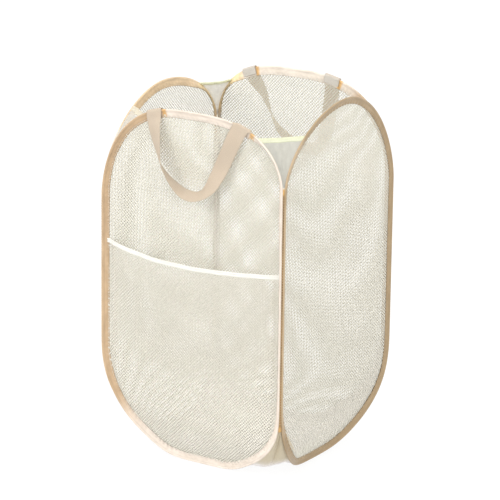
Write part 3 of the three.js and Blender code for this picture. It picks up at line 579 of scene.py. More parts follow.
class Loop:
    """The outer edge of one panel's loop, closely sampled, with its frame and the tape's roll."""

    def __init__(self, k, n=1440):
        self.k = k
        parts = [np.stack([np.linspace(0, FOOT_HALF, 60), np.zeros(60)], 1)]
        parts.append(np.stack(lower_arc(k, 1, T), 1)[1:])
        a = HALF[k] - SEAM_INSET
        parts.append(np.stack([np.full(200, a), np.linspace(V_BOT[SIDES[k][1]], V_TOP[SIDES[k][1]], 200)], 1)[1:-1])
        parts.append(np.stack(upper_arc(k, 1, T_TOP), 1))
        parts.append(np.stack(upper_arc(k, -1, T_TOP), 1)[::-1][1:])
        parts.append(np.stack([np.full(200, -a), np.linspace(V_TOP[SIDES[k][0]], V_BOT[SIDES[k][0]], 200)], 1)[1:-1])
        parts.append(np.stack(lower_arc(k, -1, T), 1)[::-1])
        parts.append(np.stack([np.linspace(-FOOT_HALF, 0, 60), np.zeros(60)], 1)[1:-1])
        uz = np.concatenate(parts)
        self.s, self.length, (uz,) = resample(on_panel(k, uz[:, 0], uz[:, 1]), n, True, uz)
        ker = np.hanning(9) / np.hanning(9).sum()
        pad = np.concatenate([uz[-8:], uz, uz[:8]])
        sm = np.stack([np.convolve(pad[:, i], ker, "same")[8:-8] for i in range(2)], 1)
        self.u, self.z = sm[:, 0], np.maximum(0, sm[:, 1])
        self.n = n
        d = np.roll(sm, -1, 0) - np.roll(sm, 1, 0)
        d = unit(d)
        self.p0 = on_panel(k, self.u, self.z)
        # drawn a little towards its neighbours, and rounder where it turns up from the floor
        self.p = on_panel(k, self.u * (1 + SNUG / a), self.z)
        sigma = (25.0 if k in "BC" else 18.0) / (self.length / n)
        x = np.minimum(np.arange(n), n - np.arange(n))
        ker = np.exp(-0.5 * (x / sigma) ** 2)
        ker = np.fft.rfft(ker / ker.sum())
        soft = np.stack([np.fft.irfft(np.fft.rfft(self.p[:, i]) * ker, n) for i in range(3)], 1)
        low = np.clip((220 - self.z) / 80, 0, 1)[:, None]
        self.p = self.p * (1 - low) + soft * low
        self.p[:, 2] = np.maximum(self.p[:, 2], 0.0)
        t3 = unit(np.roll(self.p, -1, 0) - np.roll(self.p, 1, 0))
        nu, nz = -d[:, 1], d[:, 0]
        q = on_panel(k, self.u + 14 * nu, self.z + 14 * nz)
        e = unit(q - self.p)
        e = unit(e - (e * t3).sum(1, keepdims=True) * t3)
        m = np.cross(t3, e)
        m = m * np.sign(m @ OUT[k])[:, None]
        self.t3, self.e, self.m = t3, e, unit(m)
        roll = turn_field(k, self.u, self.z)
        w = int(58 / (self.length / n)) | 1
        ker = np.hanning(w + 2)[1:-1]
        ker /= ker.sum()
        pad = np.concatenate([roll[-w:], roll, roll[:w]])
        self.roll = np.radians(np.convolve(pad, ker, "same")[w:-w])
        extra = {"A": 0.6 * smooth((self.z - 560) / 25), "B": -0.5 + 0 * self.z, "C": 1.9 * smooth((self.z - 560) / 25),
                 "D": 2.5 * smooth((self.z - 570) / 25)}[k]
        self.width = TAPE_WIDTH + extra + 0.20 * field1(n, 26, 5 + ord(k))

    def at(self, d, h, i=slice(None), roll=True):
        """Points d into the panel and h proud of it; d is measured along the rolled tape."""
        p, e, m = self.p[i], self.e[i], self.m[i]
        ph = self.roll[i] if roll else 0 * self.roll[i]
        d, h = np.asarray(d, float), np.asarray(h, float)
        if d.ndim < 2:
            d = d[None] if d.ndim == 1 else d
        c, s = np.cos(ph), np.sin(ph)
        dd = BEAD + (d - BEAD) * c + h * s
        hh = -(d - BEAD) * s + h * c
        v = p + e * dd[..., None] + m * hh[..., None]
        return v


LOOPS = {k: Loop(k) for k in "ABCD"}


def nearest(L, u, z):
    return int(np.argmin((L.u - u) ** 2 + (L.z - z) ** 2))


# ---------------------------------------------------------------- tape colours round the loops
# Tape tones: tan, a deeper tan of painted shade, a light cream of painted sheen highlight, and an unused cream.
TAN, TAN_SHADED, SHEEN_PALE, CREAM = (np.array(c) for c in ((0.575, 0.410, 0.255), (0.405, 0.290, 0.163), (0.825, 0.735, 0.655), (0.850, 0.790, 0.690)))


MARKS = {"A": [(-55.5, 603, 3.6), (114.5, 587, 4.0)], "D": [(-87, 604, 3.6), (79, 606, 3.6)]}
# painted shade of the small folds beside the handle ends, in tan
PUCKER_SHADE = np.array([0.74, 0.46, 0.19])


def tape_tint(L):
    """The tape's tone along one loop, with painted light and shade: a painted sheen highlight where the tape runs level
    on front and rear, tan on the uprights, painted shade in a deeper tan on the right panel, and near white on the rear
    left upright, painted light lifting that crevice out of its shade.
    """
    k, u, z, n = L.k, L.u, L.z, L.n
    ker = np.hanning(25) / np.hanning(25).sum()
    # painted light and shade: a bright orange on the tape inside the rear left V, standing in for the shaded satin
    # there while lifting it out of the V's shade
    v_lift_orange = np.array([0.93, 0.74, 0.45])
    v_lift_share = np.zeros(n)
    # painted sheen highlight along the top, down the front right upright and along the foot; the front left upright
    # stays tan
    if k == "A":
        painted_lit_share = np.where((z > 560) & (u > -60), 1.0, 0.0)
        painted_lit_share = np.where((z > 60) & (u > 120), 1.0, painted_lit_share)
        painted_lit_share = np.where((z < 300) & (u < -90), smooth((105 - z) / 75), painted_lit_share)
        painted_lit_share = np.where((z < 120) & (u >= -90), 1.0, painted_lit_share)
        base, other = TAN, SHEEN_PALE
    # painted shade: the right panel's tape in a deeper tan, a little lighter towards the front right corner and at the
    # top
    elif k == "B":
        painted_lit_share = np.where((u < -120) & (z > 505), 0.45, 0.06)
        painted_lit_share = np.where((u < -120) & (z < 480) & (z > 90), 0.5, painted_lit_share)
        painted_lit_share = np.where((z > 590), 0.2, painted_lit_share)
        base, other = TAN_SHADED, np.array([0.70, 0.55, 0.38])
    # painted light: near white down the rear left upright, lifting that crevice out of its shade, and a bright orange
    # inside the rear left V; a painted sheen highlight on the front left upright's upper part
    elif k == "C":
        painted_lit_share = np.where((u > 120) & (z < 470), 0.75, 0.05)
        painted_lit_share = np.where((u < -120) & (z > 330), 0.8, painted_lit_share)
        v_lift_share = np.where((u > 100) & (z > 515) & (z < 592), 1.0, 0.0)
        base, other = np.array([0.80, 0.605, 0.385]), np.where(u[:, None] > 0, np.array([[0.97, 0.945, 0.91]]), SHEEN_PALE[None])
    # painted sheen highlight along the top and at the foot; painted light, near white down the rear left upright and a
    # bright orange inside the rear left V
    else:
        painted_lit_share = np.where((z > 590) & (u > -135), 0.95, 0.1)
        painted_lit_share = np.where((z > 590) & (u > 82), 0.75, painted_lit_share)
        painted_lit_share = np.where((u < -120) & (z < 490), 0.95, painted_lit_share)
        painted_lit_share = np.where(z < 50, 0.8, painted_lit_share)
        painted_lit_share = np.where((u < -120) & (z < 515), 1.0, painted_lit_share)
        v_lift_share = np.where((u < -120) & (z > 515) & (z < 600), 1.0, 0.0)
        base, other = TAN, np.where((u[:, None] < -120) & (z[:, None] < 515), np.array([[0.97, 0.945, 0.91]]), np.array([[0.90, 0.83, 0.755]]))
    pad = np.concatenate([painted_lit_share[-24:], painted_lit_share, painted_lit_share[:24]])
    painted_lit_share = np.convolve(pad, ker, "same")[24:-24]
    # painted shade: tan marks beside the handle ends, where the tape folds in its own shade
    marks, pucker_shade = MARKS.get(k, []), np.zeros(n)
    for mu, mz, w in marks:
        i = nearest(L, mu, mz)
        ds = np.minimum(np.abs(L.s - L.s[i]), L.length - np.abs(L.s - L.s[i]))
        pucker_shade = np.maximum(pucker_shade, np.exp(-0.5 * (ds / w) ** 4))
    v_lift_share = np.convolve(np.concatenate([v_lift_share[-24:], v_lift_share, v_lift_share[:24]]), ker, "same")[24:-24][:, None]
    other = np.atleast_2d(other)
    out = (base[None] * (1 - painted_lit_share[:, None]) + other * painted_lit_share[:, None]) * (1 - v_lift_share) + v_lift_orange[None] * v_lift_share
    return out * (1 - pucker_shade[:, None]) + PUCKER_SHADE[None] * pucker_shade[:, None]


# ---------------------------------------------------------------- bindings and wires
def binding(k):
    L = LOOPS[k]
    n = L.n
    W = L.width
    # section: outer face from the front flap's inner edge round the bead to the back flap's
    ang = np.radians(np.array([62, 90, 120, 150, 180, 210, 240, 270, 298]))
    front = [(1.0, -0.15, 0.46), (1.0, 0.0, 0.70), (1.0, -0.7, 0.90), (1.0, -1.7, 0.86), (1.0, -2.3, 0.66), (1.0, -2.9, 0.86), (0.62, 0, 0.84), (0.42, 0, 0.88), (0.31, 0, 1.12)]
    outer = []
    for f, dd, h in front:
        outer.append((f, dd, h))
    bead = [(0.0, BEAD + BEAD * math.cos(a), BEAD * math.sin(a)) for a in ang]
    outer = outer + bead + [(f, dd, -h) for f, dd, h in front[::-1]]
    ang2 = np.radians(np.array([300, 240, 180, 120, 60]))
    inner = [(1.0, -0.3, -0.36), (0.6, 0, -0.36), (0.36, 0, -0.40)] + [(0.0, BEAD + 1.12 * math.cos(a), 1.12 * math.sin(a)) for a in ang2] + [(0.36, 0, 0.40), (0.6, 0, 0.36), (1.0, -0.3, 0.36)]
    sec = outer + inner
    f = np.array([s[0] for s in sec])[None]
    dd = np.array([s[1] for s in sec])[None]
    hh = np.array([s[2] for s in sec])[None]
    D = f * W[:, None] + dd
    # the flaps ripple a little where they were sewn round a curve
    step = L.length / n
    curv = np.linalg.norm(np.roll(L.t3, -3, 0) - np.roll(L.t3, 3, 0), axis=1) / (6 * step)
    curv = np.clip(curv / 0.006, 0, 1.6)
    amp = 0.10 + 0.22 * curv + 0.07 * np.abs(field1(n, 40, 17 + ord(k)))
    phase = 2 * np.pi * (L.s / 9.4 + 0.9 * field1(n, 18, 31 + ord(k)) * 0.35)
    ripple = amp * np.sin(phase)
    weight = smooth((D - 4.0) / 8.0)
    H = hh + weight * (ripple[:, None] + 0.18 * field1(n, 9, 43 + ord(k))[:, None])
    if k in ("A", "D"):
        for mu, mz, _ in MARKS[k]:
            i = nearest(L, mu, mz)
            ds = np.minimum(np.abs(L.s - L.s[i]), L.length - np.abs(L.s - L.s[i]))
            H = H - weight * (0.9 * np.exp(-0.5 * (ds / 3.2) ** 2))[:, None]
    V = L.p[:, None] + L.e[:, None] * (BEAD + (D - BEAD) * np.cos(L.roll)[:, None] + H * np.sin(L.roll)[:, None])[..., None] \
        + L.m[:, None] * (-(D - BEAD) * np.sin(L.roll)[:, None] + H * np.cos(L.roll)[:, None])[..., None]
    V[..., 2] = np.maximum(V[..., 2], 0.0)
    faces = tube_faces(n, len(sec), True, True)
    tint = np.repeat(tape_tint(L)[:, None], len(sec), 1)
    # painted shade: darker along the stitch line, at the fold just past the bead and in a thin line at the flap's inner
    # edge, with faint diagonal bands of painted shade along the ripples
    shade = np.ones((n, len(sec)))
    shade *= 1 - 0.10 * np.exp(-0.5 * ((D - (W[:, None] - 2.3)) / 0.5) ** 2)
    shade *= 1 - 0.12 * np.exp(-0.5 * ((D - 4.2) / 0.7) ** 2)
    shade *= 1 - 0.30 * np.exp(-0.5 * ((D - W[:, None] - 0.1) / 0.45) ** 2)
    diag = 0.5 + 0.5 * np.sin(2 * np.pi * (L.s[:, None] + 0.9 * D) / 9.4 + 2 * field1(n, 25, 71 + ord(k))[:, None])
    shade *= 1 - 0.09 * diag * weight
    tint = tint * shade[..., None]
    along = np.repeat(L.s[:, None], len(sec), 1)
    across = np.where(np.array([0] * (len(outer) // 2) + [1] * (len(outer) - len(outer) // 2) + [0] * len(inner))[None] > 0, 40 + D, D)
    tc = np.stack([across, along], -1)
    o = make(f"{NAME[k]}_tape", V.reshape(-1, 3), faces, SATIN, BODY[k], (f"{NAME[k]}_edge_binding",), tc.reshape(-1, 2), tint.reshape(-1, 3))
    # two rows of lockstitch, one on each face
    m = int(L.length / 3.1)
    at = (np.arange(m) + 0.5) * L.length / m
    i = np.clip((at / L.length * n).astype(int), 0, n - 1)
    P, A, U = [], [], []
    for side in (1, -1):
        d = W[i] - 2.3
        h = side * 0.70 + (smooth((d - 4.0) / 8.0) * ripple[i])
        c, s = np.cos(L.roll[i]), np.sin(L.roll[i])
        P.append(L.p[i] + L.e[i] * (BEAD + (d - BEAD) * c + h * s)[:, None] + L.m[i] * (-(d - BEAD) * s + h * c)[:, None])
        A.append(L.t3[i])
        U.append((L.m[i] * c[:, None] + L.e[i] * s[:, None]) * side)
    V, F, tcs = thread_bits(np.concatenate(P), np.concatenate(A), np.concatenate(U), 2.35, 0.26, 0.20)
    # the stitching is tan on the right and left tapes and cream on front and rear, following the tapes' painted light
    # and shade
    make(f"{NAME[k]}_tape_stitching", V, F, THREAD_TAN if k in "BC" else THREAD_PALE, BODY[k], (), tcs)
    # the wire, one length inside the bead, its ends meeting in the sleeve
    a = HALF[k] - SEAM_INSET
    j = nearest(L, a, 300)
    order = (np.arange(n + 1) + j) % n
    order = order[4:-4:2]
    ring = np.linspace(0, 2 * np.pi, 9)[:-1]
    V = L.p[order][:, None] + L.e[order][:, None] * (1.45 + 0.75 * np.cos(ring))[None, :, None] + L.m[order][:, None] * (0.75 * np.sin(ring))[None, :, None]
    V[..., 2] = np.maximum(V[..., 2], 0.4)
    r = len(order)
    F = [tube_faces(r, 8), fan_cap(np.arange(8), True), fan_cap(np.arange(8) + (r - 1) * 8, False)]
    make(f"{NAME[k]}_wire", V.reshape(-1, 3), F, STEEL, BODY[k], (f"{NAME[k]}_spring_wire",))
    return o


def joiner(k):
    """The crimped sleeve round the wire's two ends, on the straight side."""
    L = LOOPS[k]
    j = nearest(L, HALF[k] - SEAM_INSET, 300)
    x = np.linspace(-5.7, 5.7, 33)
    r = 1.02 + 0 * x
    for c in (-3.4, 0.0, 3.4):
        r = r - 0.17 * np.exp(-0.5 * ((x - c) / 0.55) ** 2)
    r[[0, -1]] = 0.86
    ring = np.linspace(0, 2 * np.pi, 17)[:-1]
    c0 = L.p[j] + L.e[j] * 1.45
    V = c0 + L.t3[j] * x[:, None, None] + r[:, None, None] * (L.e[j] * np.cos(ring)[None, :, None] + L.m[j] * np.sin(ring)[None, :, None])
    F = [tube_faces(33, 16), fan_cap(np.arange(16), True), fan_cap(np.arange(16) + 32 * 16, False)]
    make(f"{NAME[k]}_sleeve", V.reshape(-1, 3), F, STEEL, BODY[k], (f"{NAME[k]}_wire_joiner",))


TAPES = {k: binding(k) for k in "ABCD"}
for k in "ABCD":
    joiner(k)


# ---------------------------------------------------------------- net panels
class Rise:
    """Height up a panel against length along its surface, at mid width."""

    def __init__(self, k):
        z = np.linspace(-5, TOP_Z[k] + 8, 1400)
        n = lean(k, 0 * z, z)
        self.z = z
        self.w = np.concatenate([[0], np.cumsum(np.hypot(np.diff(z), np.diff(n)))])
        self.w -= np.interp(0, z, self.w)

    def z_of(self, w):
        return np.interp(w, self.w, self.z)

    def w_of(self, z):
        return np.interp(z, self.z, self.w)


class Membrane:
    """Distance to the loop's edge and the net's offset from the panel's surface, on a coarse grid."""

    def __init__(self, k):
        L = LOOPS[k]
        self.k, self.rise = k, Rise(k)
        a = HALF[k] + 6
        self.us = np.arange(-a, a + 3, 3.0)
        self.ws = np.arange(-6, self.rise.w_of(TOP_Z[k]) + 9, 3.0)
        U, Wg = np.meshgrid(self.us, self.ws, indexing="ij")
        P = on_panel(k, U, self.rise.z_of(Wg)).reshape(-1, 3)
        i = np.arange(0, L.n, 3)
        edge = L.p[i]
        D = np.empty(len(P))
        near = np.empty(len(P), int)
        for c in range(0, len(P), 4000):
            d2 = ((P[c:c + 4000, None] - edge[None]) ** 2).sum(-1)
            near[c:c + 4000] = d2.argmin(1)
            D[c:c + 4000] = np.sqrt(d2.min(1))
        roll = L.roll[i]
        width = L.width[i]
        d13 = BEAD + (width - BEAD) * np.cos(roll)
        h13 = -(width - BEAD) * np.sin(roll)
        shift = ((L.p[i] - L.p0[i]) * L.m[i]).sum(1)
        h13 = h13 + shift
        j = np.arange(0, len(i), 3)
        Q = L.p[i[j]] + L.e[i[j]] * d13[j, None]
        H = np.empty(len(P))
        for c in range(0, len(P), 4000):
            d2 = ((P[c:c + 4000, None] - Q[None]) ** 2).sum(-1) + 4.0
            w = d2 ** -1.25
            H[c:c + 4000] = (w * h13[j]).sum(1) / w.sum(1)
        tape = np.clip((D - BEAD) / (d13[near] - BEAD), 0, 1)
        H = np.where(D < d13[near], shift[near] + (h13 - shift)[near] * tape, H)
        self.D, self.H = D.reshape(U.shape), H.reshape(U.shape)

    def sample(self, G, u, w):
        x = np.clip((u - self.us[0]) / 3.0, 0, len(self.us) - 1.001)
        y = np.clip((w - self.ws[0]) / 3.0, 0, len(self.ws) - 1.001)
        i, j = x.astype(int), y.astype(int)
        fx, fy = x - i, y - j
        return (G[i, j] * (1 - fx) * (1 - fy) + G[i + 1, j] * fx * (1 - fy) + G[i, j + 1] * (1 - fx) * fy + G[i + 1, j + 1] * fx * fy)

    def inside(self, u, w):
        """True inside the loop's outline, row by row."""
        L = LOOPS[self.k]
        wz = self.rise.w_of(L.z)
        right, left = L.u > 0, L.u < 0
        order = np.argsort(wz[right])
        ur = np.interp(w, wz[right][order], L.u[right][order], left=-1, right=-1)
        order = np.argsort(wz[left])
        ul = np.interp(w, wz[left][order], L.u[left][order], left=1, right=1)
        return (u < ur) & (u > ul)


MEMBRANES = {k: Membrane(k) for k in "ABCD"}
PITCH_U, PITCH_W = 5.7, 5.74
RHO = 1.20            # hole corner's distance from the knot
KNOT_HALF = 0.34


def netting(k, name, keep, offset, mat, shift=(0.0, 0.0), rho=RHO):
    """A knitted diamond net: knots on a staggered lattice joined by lens-shaped threads, closed where they are cut."""
    M = MEMBRANES[k]
    hu, hw = PITCH_U / 2, PITCH_W / 2
    ni = int((HALF[k] + 4) / hu)
    nj = int((M.rise.w_of(TOP_Z[k]) + 4) / hw)
    I, J = np.meshgrid(np.arange(-ni, ni + 1), np.arange(0, nj + 1), indexing="ij")
    even = (I + J) % 2 == 0
    seed = ord(k) * 7 + int(shift[0] * 10)
    u0, w0 = I * hu + shift[0], J * hw + shift[1]
    # the knitting isn't drawn perfectly square
    ju = 0.16 * field2(u0, w0, 100 + seed, 150, 2) + 0.08 * np.random.default_rng(seed).normal(size=I.shape)
    jw = 0.16 * field2(u0, w0, 200 + seed, 170, 2) + 0.08 * np.random.default_rng(seed + 1).normal(size=I.shape)
    U, W = u0 + ju, w0 + jw
    mask = even & keep(U, W)
    ne = np.zeros_like(mask)
    nw = np.zeros_like(mask)
    for _ in range(3):
        ne[:], nw[:] = False, False
        ne[:-1, :-1] = mask[:-1, :-1] & mask[1:, 1:]
        nw[1:, :-1] = mask[1:, :-1] & mask[:-1, 1:]
        deg = ne.astype(int) + nw
        deg[1:, 1:] += ne[:-1, :-1]
        deg[:-1, 1:] += nw[1:, :-1]
        mask &= deg >= 2
    ne[:-1, :-1] = mask[:-1, :-1] & mask[1:, 1:]
    ne[-1, :] = ne[:, -1] = False
    nw[1:, :-1] = mask[1:, :-1] & mask[:-1, 1:]
    nw[0, :] = nw[:, -1] = False
    idx = -np.ones(mask.shape, int)
    idx[mask] = np.arange(mask.sum())
    uk, wk = U[mask], W[mask]
    n = len(uk)
    jit = 1 + 0.10 * np.random.default_rng(seed + 2).normal(size=(n, 4))
    off = np.array([[0, 0], [0, 0], [1, 0], [-1, 0], [0, 1], [0, -1]], float)
    r = np.ones((n, 6))
    r[:, 2:] = rho * jit
    uu = uk[:, None] + off[None, :, 0] * r
    ww = wk[:, None] + off[None, :, 1] * r
    zz = M.rise.z_of(ww)
    normal = panel_normal(k, uk, M.rise.z_of(wk))
    h = offset(uu, ww)
    up = np.array([KNOT_HALF, -KNOT_HALF, 0, 0, 0, 0])[None] * (1 + 0.12 * np.random.default_rng(seed + 3).normal(size=(n, 1)))
    V = on_panel(k, uu, zz) + normal[:, None] * (h + up)[..., None]
    V[..., 2] = np.maximum(V[..., 2], 0.3)
    Fv, Bv, R_, L_, U_, D_ = range(6)
    tris = []

    def strip(a, b, va, vb):
        # a, b knots; va, vb the hexagon's corners at a and at b, anticlockwise from outside
        A0, A1, A2 = (a * 6 + v for v in va)
        B0, B1, B2 = (b * 6 + v for v in vb)
        Ab, Bb = a * 6 + Bv, b * 6 + Bv
        for x, y, z in ((A0, A1, B2), (A0, B2, B0), (A0, B0, B1), (A0, B1, A2)):
            tris.append(np.column_stack([x, y, z]))
            back = [np.where(q == A0, Ab, np.where(q == B0, Bb, q)) for q in (x, y, z)]
            tris.append(np.column_stack([back[2], back[1], back[0]]))

    i, j = np.nonzero(ne)
    strip(idx[i, j], idx[i + 1, j + 1], (Fv, R_, U_), (Fv, L_, D_))
    i, j = np.nonzero(nw)
    strip(idx[i, j], idx[i - 1, j + 1], (Fv, U_, L_), (Fv, D_, R_))

    def cap(a, p, q):
        f, b = a * 6 + Fv, a * 6 + Bv
        tris.append(np.column_stack([f, a * 6 + p, b]))
        tris.append(np.column_stack([a * 6 + q, f, b]))

    none = np.zeros_like(mask)
    sw, se = none.copy(), none.copy()
    sw[1:, 1:] = ne[:-1, :-1]
    se[:-1, 1:] = nw[1:, :-1]
    for have, p, q in ((ne, R_, U_), (nw, U_, L_), (sw, L_, D_), (se, D_, R_)):
        i, j = np.nonzero(mask & ~have)
        cap(idx[i, j], p, q)
    tc = np.stack([uu, ww, 3.0 * (up + 0 * uu)], -1)
    return V.reshape(-1, 3), np.concatenate(tris), tc.reshape(-1, 3)


def panel_net(k):
    M = MEMBRANES[k]

    def keep(u, w):
        return M.inside(u, w) & (M.sample(M.D, u, w) > 5.2)

    def offset(u, w):
        D = M.sample(M.D, u, w)
        ease = smooth((D - 14) / 40)
        return M.sample(M.H, u, w) + ease * (0.8 * field2(u, w, 300 + ord(k), 210, 2) + 0.10 * field2(u, w, 340 + ord(k), 46, 2))

    V, F, tc = netting(k, f"{NAME[k]}_net", keep, offset, NET)
    o = make(f"{NAME[k]}_net", V, F, NET, BODY[k], (f"{NAME[k]}_net_panel",), tc)
    return o


NETS = {k: panel_net(k) for k in "ABCD"}


# ---------------------------------------------------------------- front pocket
MX, MZ = np.array(POCKET_MOUTH, float).T


def mouth_z(u):
    # a smooth line through the stated points of the mouth
    c = np.polyfit(MX, MZ, 4)
    return np.polyval(c, u)


def flare(u, z, zm):
    a = HALF["A"] - SEAM_INSET - TAPE_WIDTH - 0.9
    f = np.maximum(0, 1 - np.abs(u / a) ** 3)
    return 1.25 + 9 * f * smooth(1 - (zm - z) / 230) ** 0.8


def pocket_offset(u, w, extra=0.0):
    M = MEMBRANES["A"]
    D, z = M.sample(M.D, u, w), M.rise.z_of(w)
    lift = 0.32 + smooth((D - 13) / 10) * (flare(u, z, mouth_z(u)) + 1.4 + extra - 0.32)
    ease = smooth((D - 14) / 40)
    return M.sample(M.H, u, w) + lift + ease * (0.8 * (0.5 + 0.5 * field2(u, w, 377, 170, 2)) + 0.12 * field2(u, w, 391, 40, 2))


def pocket():
    M = MEMBRANES["A"]

    def keep(u, w):
        return M.inside(u, w) & (M.sample(M.D, u, w) > 6.0) & (M.rise.z_of(w) < mouth_z(u) - 4.5)

    V, F, tc = netting("A", "front_pocket_net", keep, pocket_offset, NET_POCKET_LIT, (1.3, 1.9), 1.12)
    o = make("front_pocket_net", V, F, NET_POCKET_LIT, "front_panel", ("pocket_net",), tc)
    # hem tape folded over the mouth: two soft ridges with a stitched channel between
    prof = np.array([(-POCKET_HEM, 0.35), (-7.6, 0.75), (-6.4, 0.95), (-5.0, 0.92), (-4.3, 0.55), (-4.0, 0.50), (-3.6, 0.58), (-2.8, 0.95), (-1.4, 1.02), (-0.4, 0.9), (0.0, 0.0)])
    prof = np.concatenate([prof, (prof * [1, -1])[-2:0:-1], [(-POCKET_HEM, -0.35)]])
    a = HALF["A"] - SEAM_INSET - 7.0
    us = np.linspace(-a, a, 300)
    zm = mouth_z(us) + 0.35 * field1(300, 12, 5, False)
    P = []
    for dz, h in prof:
        z = zm + dz
        w = M.rise.w_of(z)
        x = pocket_offset(us, w) + 0.3 * h + 0.35 * np.sin(us / 7.0 + 2.0 * field1(300, 20, 9, False)) * 0.25
        P.append(on_panel("A", us, z) + panel_normal("A", us, z) * (x + 0.55 * h)[:, None])
    P = np.stack(P, 1)
    rows, cols = P.shape[:2]
    Fh = [tube_faces(rows, cols), fan_cap(np.arange(cols), True), fan_cap(np.arange(cols) + (rows - 1) * cols, False)]
    tch = np.stack([np.broadcast_to(prof[:, 0] + 10 * (prof[:, 1] < 0), (rows, cols)), np.broadcast_to(us[:, None], (rows, cols))], -1)
    h = make("front_pocket_hem", P.reshape(-1, 3), Fh, WHITE, "front_panel", ("pocket_hem",), tch.reshape(-1, 2))
    m = 108
    uu = np.linspace(-a + 3, a - 3, m)
    pts, ups, als = [], [], []
    for dz, hh in ((-6.9, 0.72), (-4.15, 0.34)):
        z = mouth_z(uu) + dz
        nrm = panel_normal("A", uu, z)
        q = on_panel("A", uu, z) + nrm * (pocket_offset(uu, M.rise.w_of(z)) + hh)[:, None]
        pts.append(q)
        ups.append(nrm)
        als.append(unit(np.gradient(q, axis=0)))
    V, F, tcs = thread_bits(np.concatenate(pts), np.concatenate(als), np.concatenate(ups), 2.5, 0.24, 0.18)
    make("front_pocket_stitching", V, F, THREAD_PALE, "front_panel", (), tcs)
    return o, h


POCKET_NET, POCKET_HEM_PIECE = pocket()


# ---------------------------------------------------------------- gussets
def edge_u(k, sign, z):
    u, zz = upper_arc(k, sign, np.linspace(0, 1, 1500))
    return np.interp(z, zz, u)


def notch(k, sign, z, away):
    u = edge_u(k, sign, z)
    du = edge_u(k, sign, z + 1) - edge_u(k, sign, z - 1)
    l = np.hypot(du, 2)
    return on_panel(k, u + sign * away * 2 / l, z + away * np.abs(du) / l)


def gusset_points(c, t, f, dip):
    (k0, s0), (k1, s1) = MEETS[c]
    zv = V_TOP[c] + 1.0
    h0, h1 = GUSSET_TOP[c]
    t = np.asarray(t)[:, None]
    f = np.asarray(f)[None]
    away = -0.9
    a = notch(k0, s0, (zv + (h0 - zv) * t)[:, 0], away)[:, None]
    b = notch(k1, s1, (zv + (h1 - zv) * t)[:, 0], away)[:, None]
    inward = unit(np.array([-CORNER[c][0], -CORNER[c][1], 0.0]))
    seed = ord(c)
    span = np.linalg.norm(a - b, axis=-1, keepdims=True)
    w = np.sin(np.pi * f)
    fold = (0.55 * np.sin(2 * np.pi * (2.2 * f + 0.35 * t) + seed) + 0.35 * np.sin(2 * np.pi * (4.1 * f - 0.8 * t) + 2 * seed)) * w ** 0.7
    soft = 0.5 * field2(f * 60 + 0 * t, t * 90 + 0 * f, 400 + seed, 46, 3) * w
    push = (dip * t * w + (0.016 * span[..., 0] * fold + soft * np.minimum(1, span[..., 0] / 60) * 1.3))[..., None]
    sag = (-2.2 * t * w * np.minimum(1, span[..., 0] / 90))[..., None] * np.array([0, 0, 1.0])
    P = a * (1 - f[..., None]) + b * f[..., None] + inward * push + sag
    return P, span[:, 0, 0]


GUSSETS = {}
for c in "NLRF":
    h = GUSSET_TOP[c][0] - V_TOP[c] - 1.0
    share = HEM_GUSSET / h
    f = np.linspace(0, 1, 44)
    t = np.linspace(0.0, 1 - 0.4 * share, 70)
    P, span = gusset_points(c, t, f, 3.0)
    V, F = slab(P, 0.22)
    zz = np.repeat(((t * h))[:, None], len(f), 1)
    uu = (f[None] - 0.5) * span[:, None]
    tc = np.tile(np.stack([uu, zz], -1).reshape(-1, 2), (2, 1))
    cloth = make(f"{CORNER_NAME[c]}_gusset_cloth", V, F, {"F": PLAIN_REAR_LIT, "L": PLAIN_SHEER}.get(c, PLAIN), None, (f"{CORNER_NAME[c]}_gusset",), tc)
    t2 = np.linspace(1 - 1.12 * share, 1, 9)
    P, span = gusset_points(c, t2, f, 3.0)
    half = np.array([0.30, 0.62, 0.72, 0.60, 0.72, 0.80, 0.84, 0.80, 0.42])[:, None] * np.ones((1, len(f)))
    V, F = slab(P, half)
    tc = np.tile(np.stack([(f[None] - 0.5) * span[:, None], np.repeat((t2 * h)[:, None], len(f), 1)], -1).reshape(-1, 2), (2, 1))
    tc = tc[:, ::-1]
    hem = make(f"{CORNER_NAME[c]}_gusset_top_hem", V, F, {"F": HEM_REAR_LIT, "L": HEM_SHEER}.get(c, HEM), None, (f"{CORNER_NAME[c]}_gusset_hem",), tc)
    # one row of stitches along the hem
    fs = np.linspace(0.04, 0.96, max(10, int(span[-1] / 3.0)))
    Q, _ = gusset_points(c, [1 - 0.80 * share, 1 - 0.79 * share], fs, 3.0)
    nrm = grid_normals(Q)[0]
    outw = unit(np.array([CORNER[c][0], CORNER[c][1], 0.0]))
    nrm = nrm * np.sign(nrm @ outw)[:, None]
    pts = np.concatenate([Q[0] + nrm * 0.66, Q[0] - nrm * 0.66])
    al = unit(np.gradient(Q[0], axis=0))
    V, F, tcs = thread_bits(pts, np.concatenate([al, al]), np.concatenate([nrm, -nrm]), 2.3, 0.24, 0.18)
    st = make(f"{CORNER_NAME[c]}_gusset_stitching", V, F, THREAD_PALE, None, (), tcs)
    GUSSETS[c] = (cloth, hem, st)


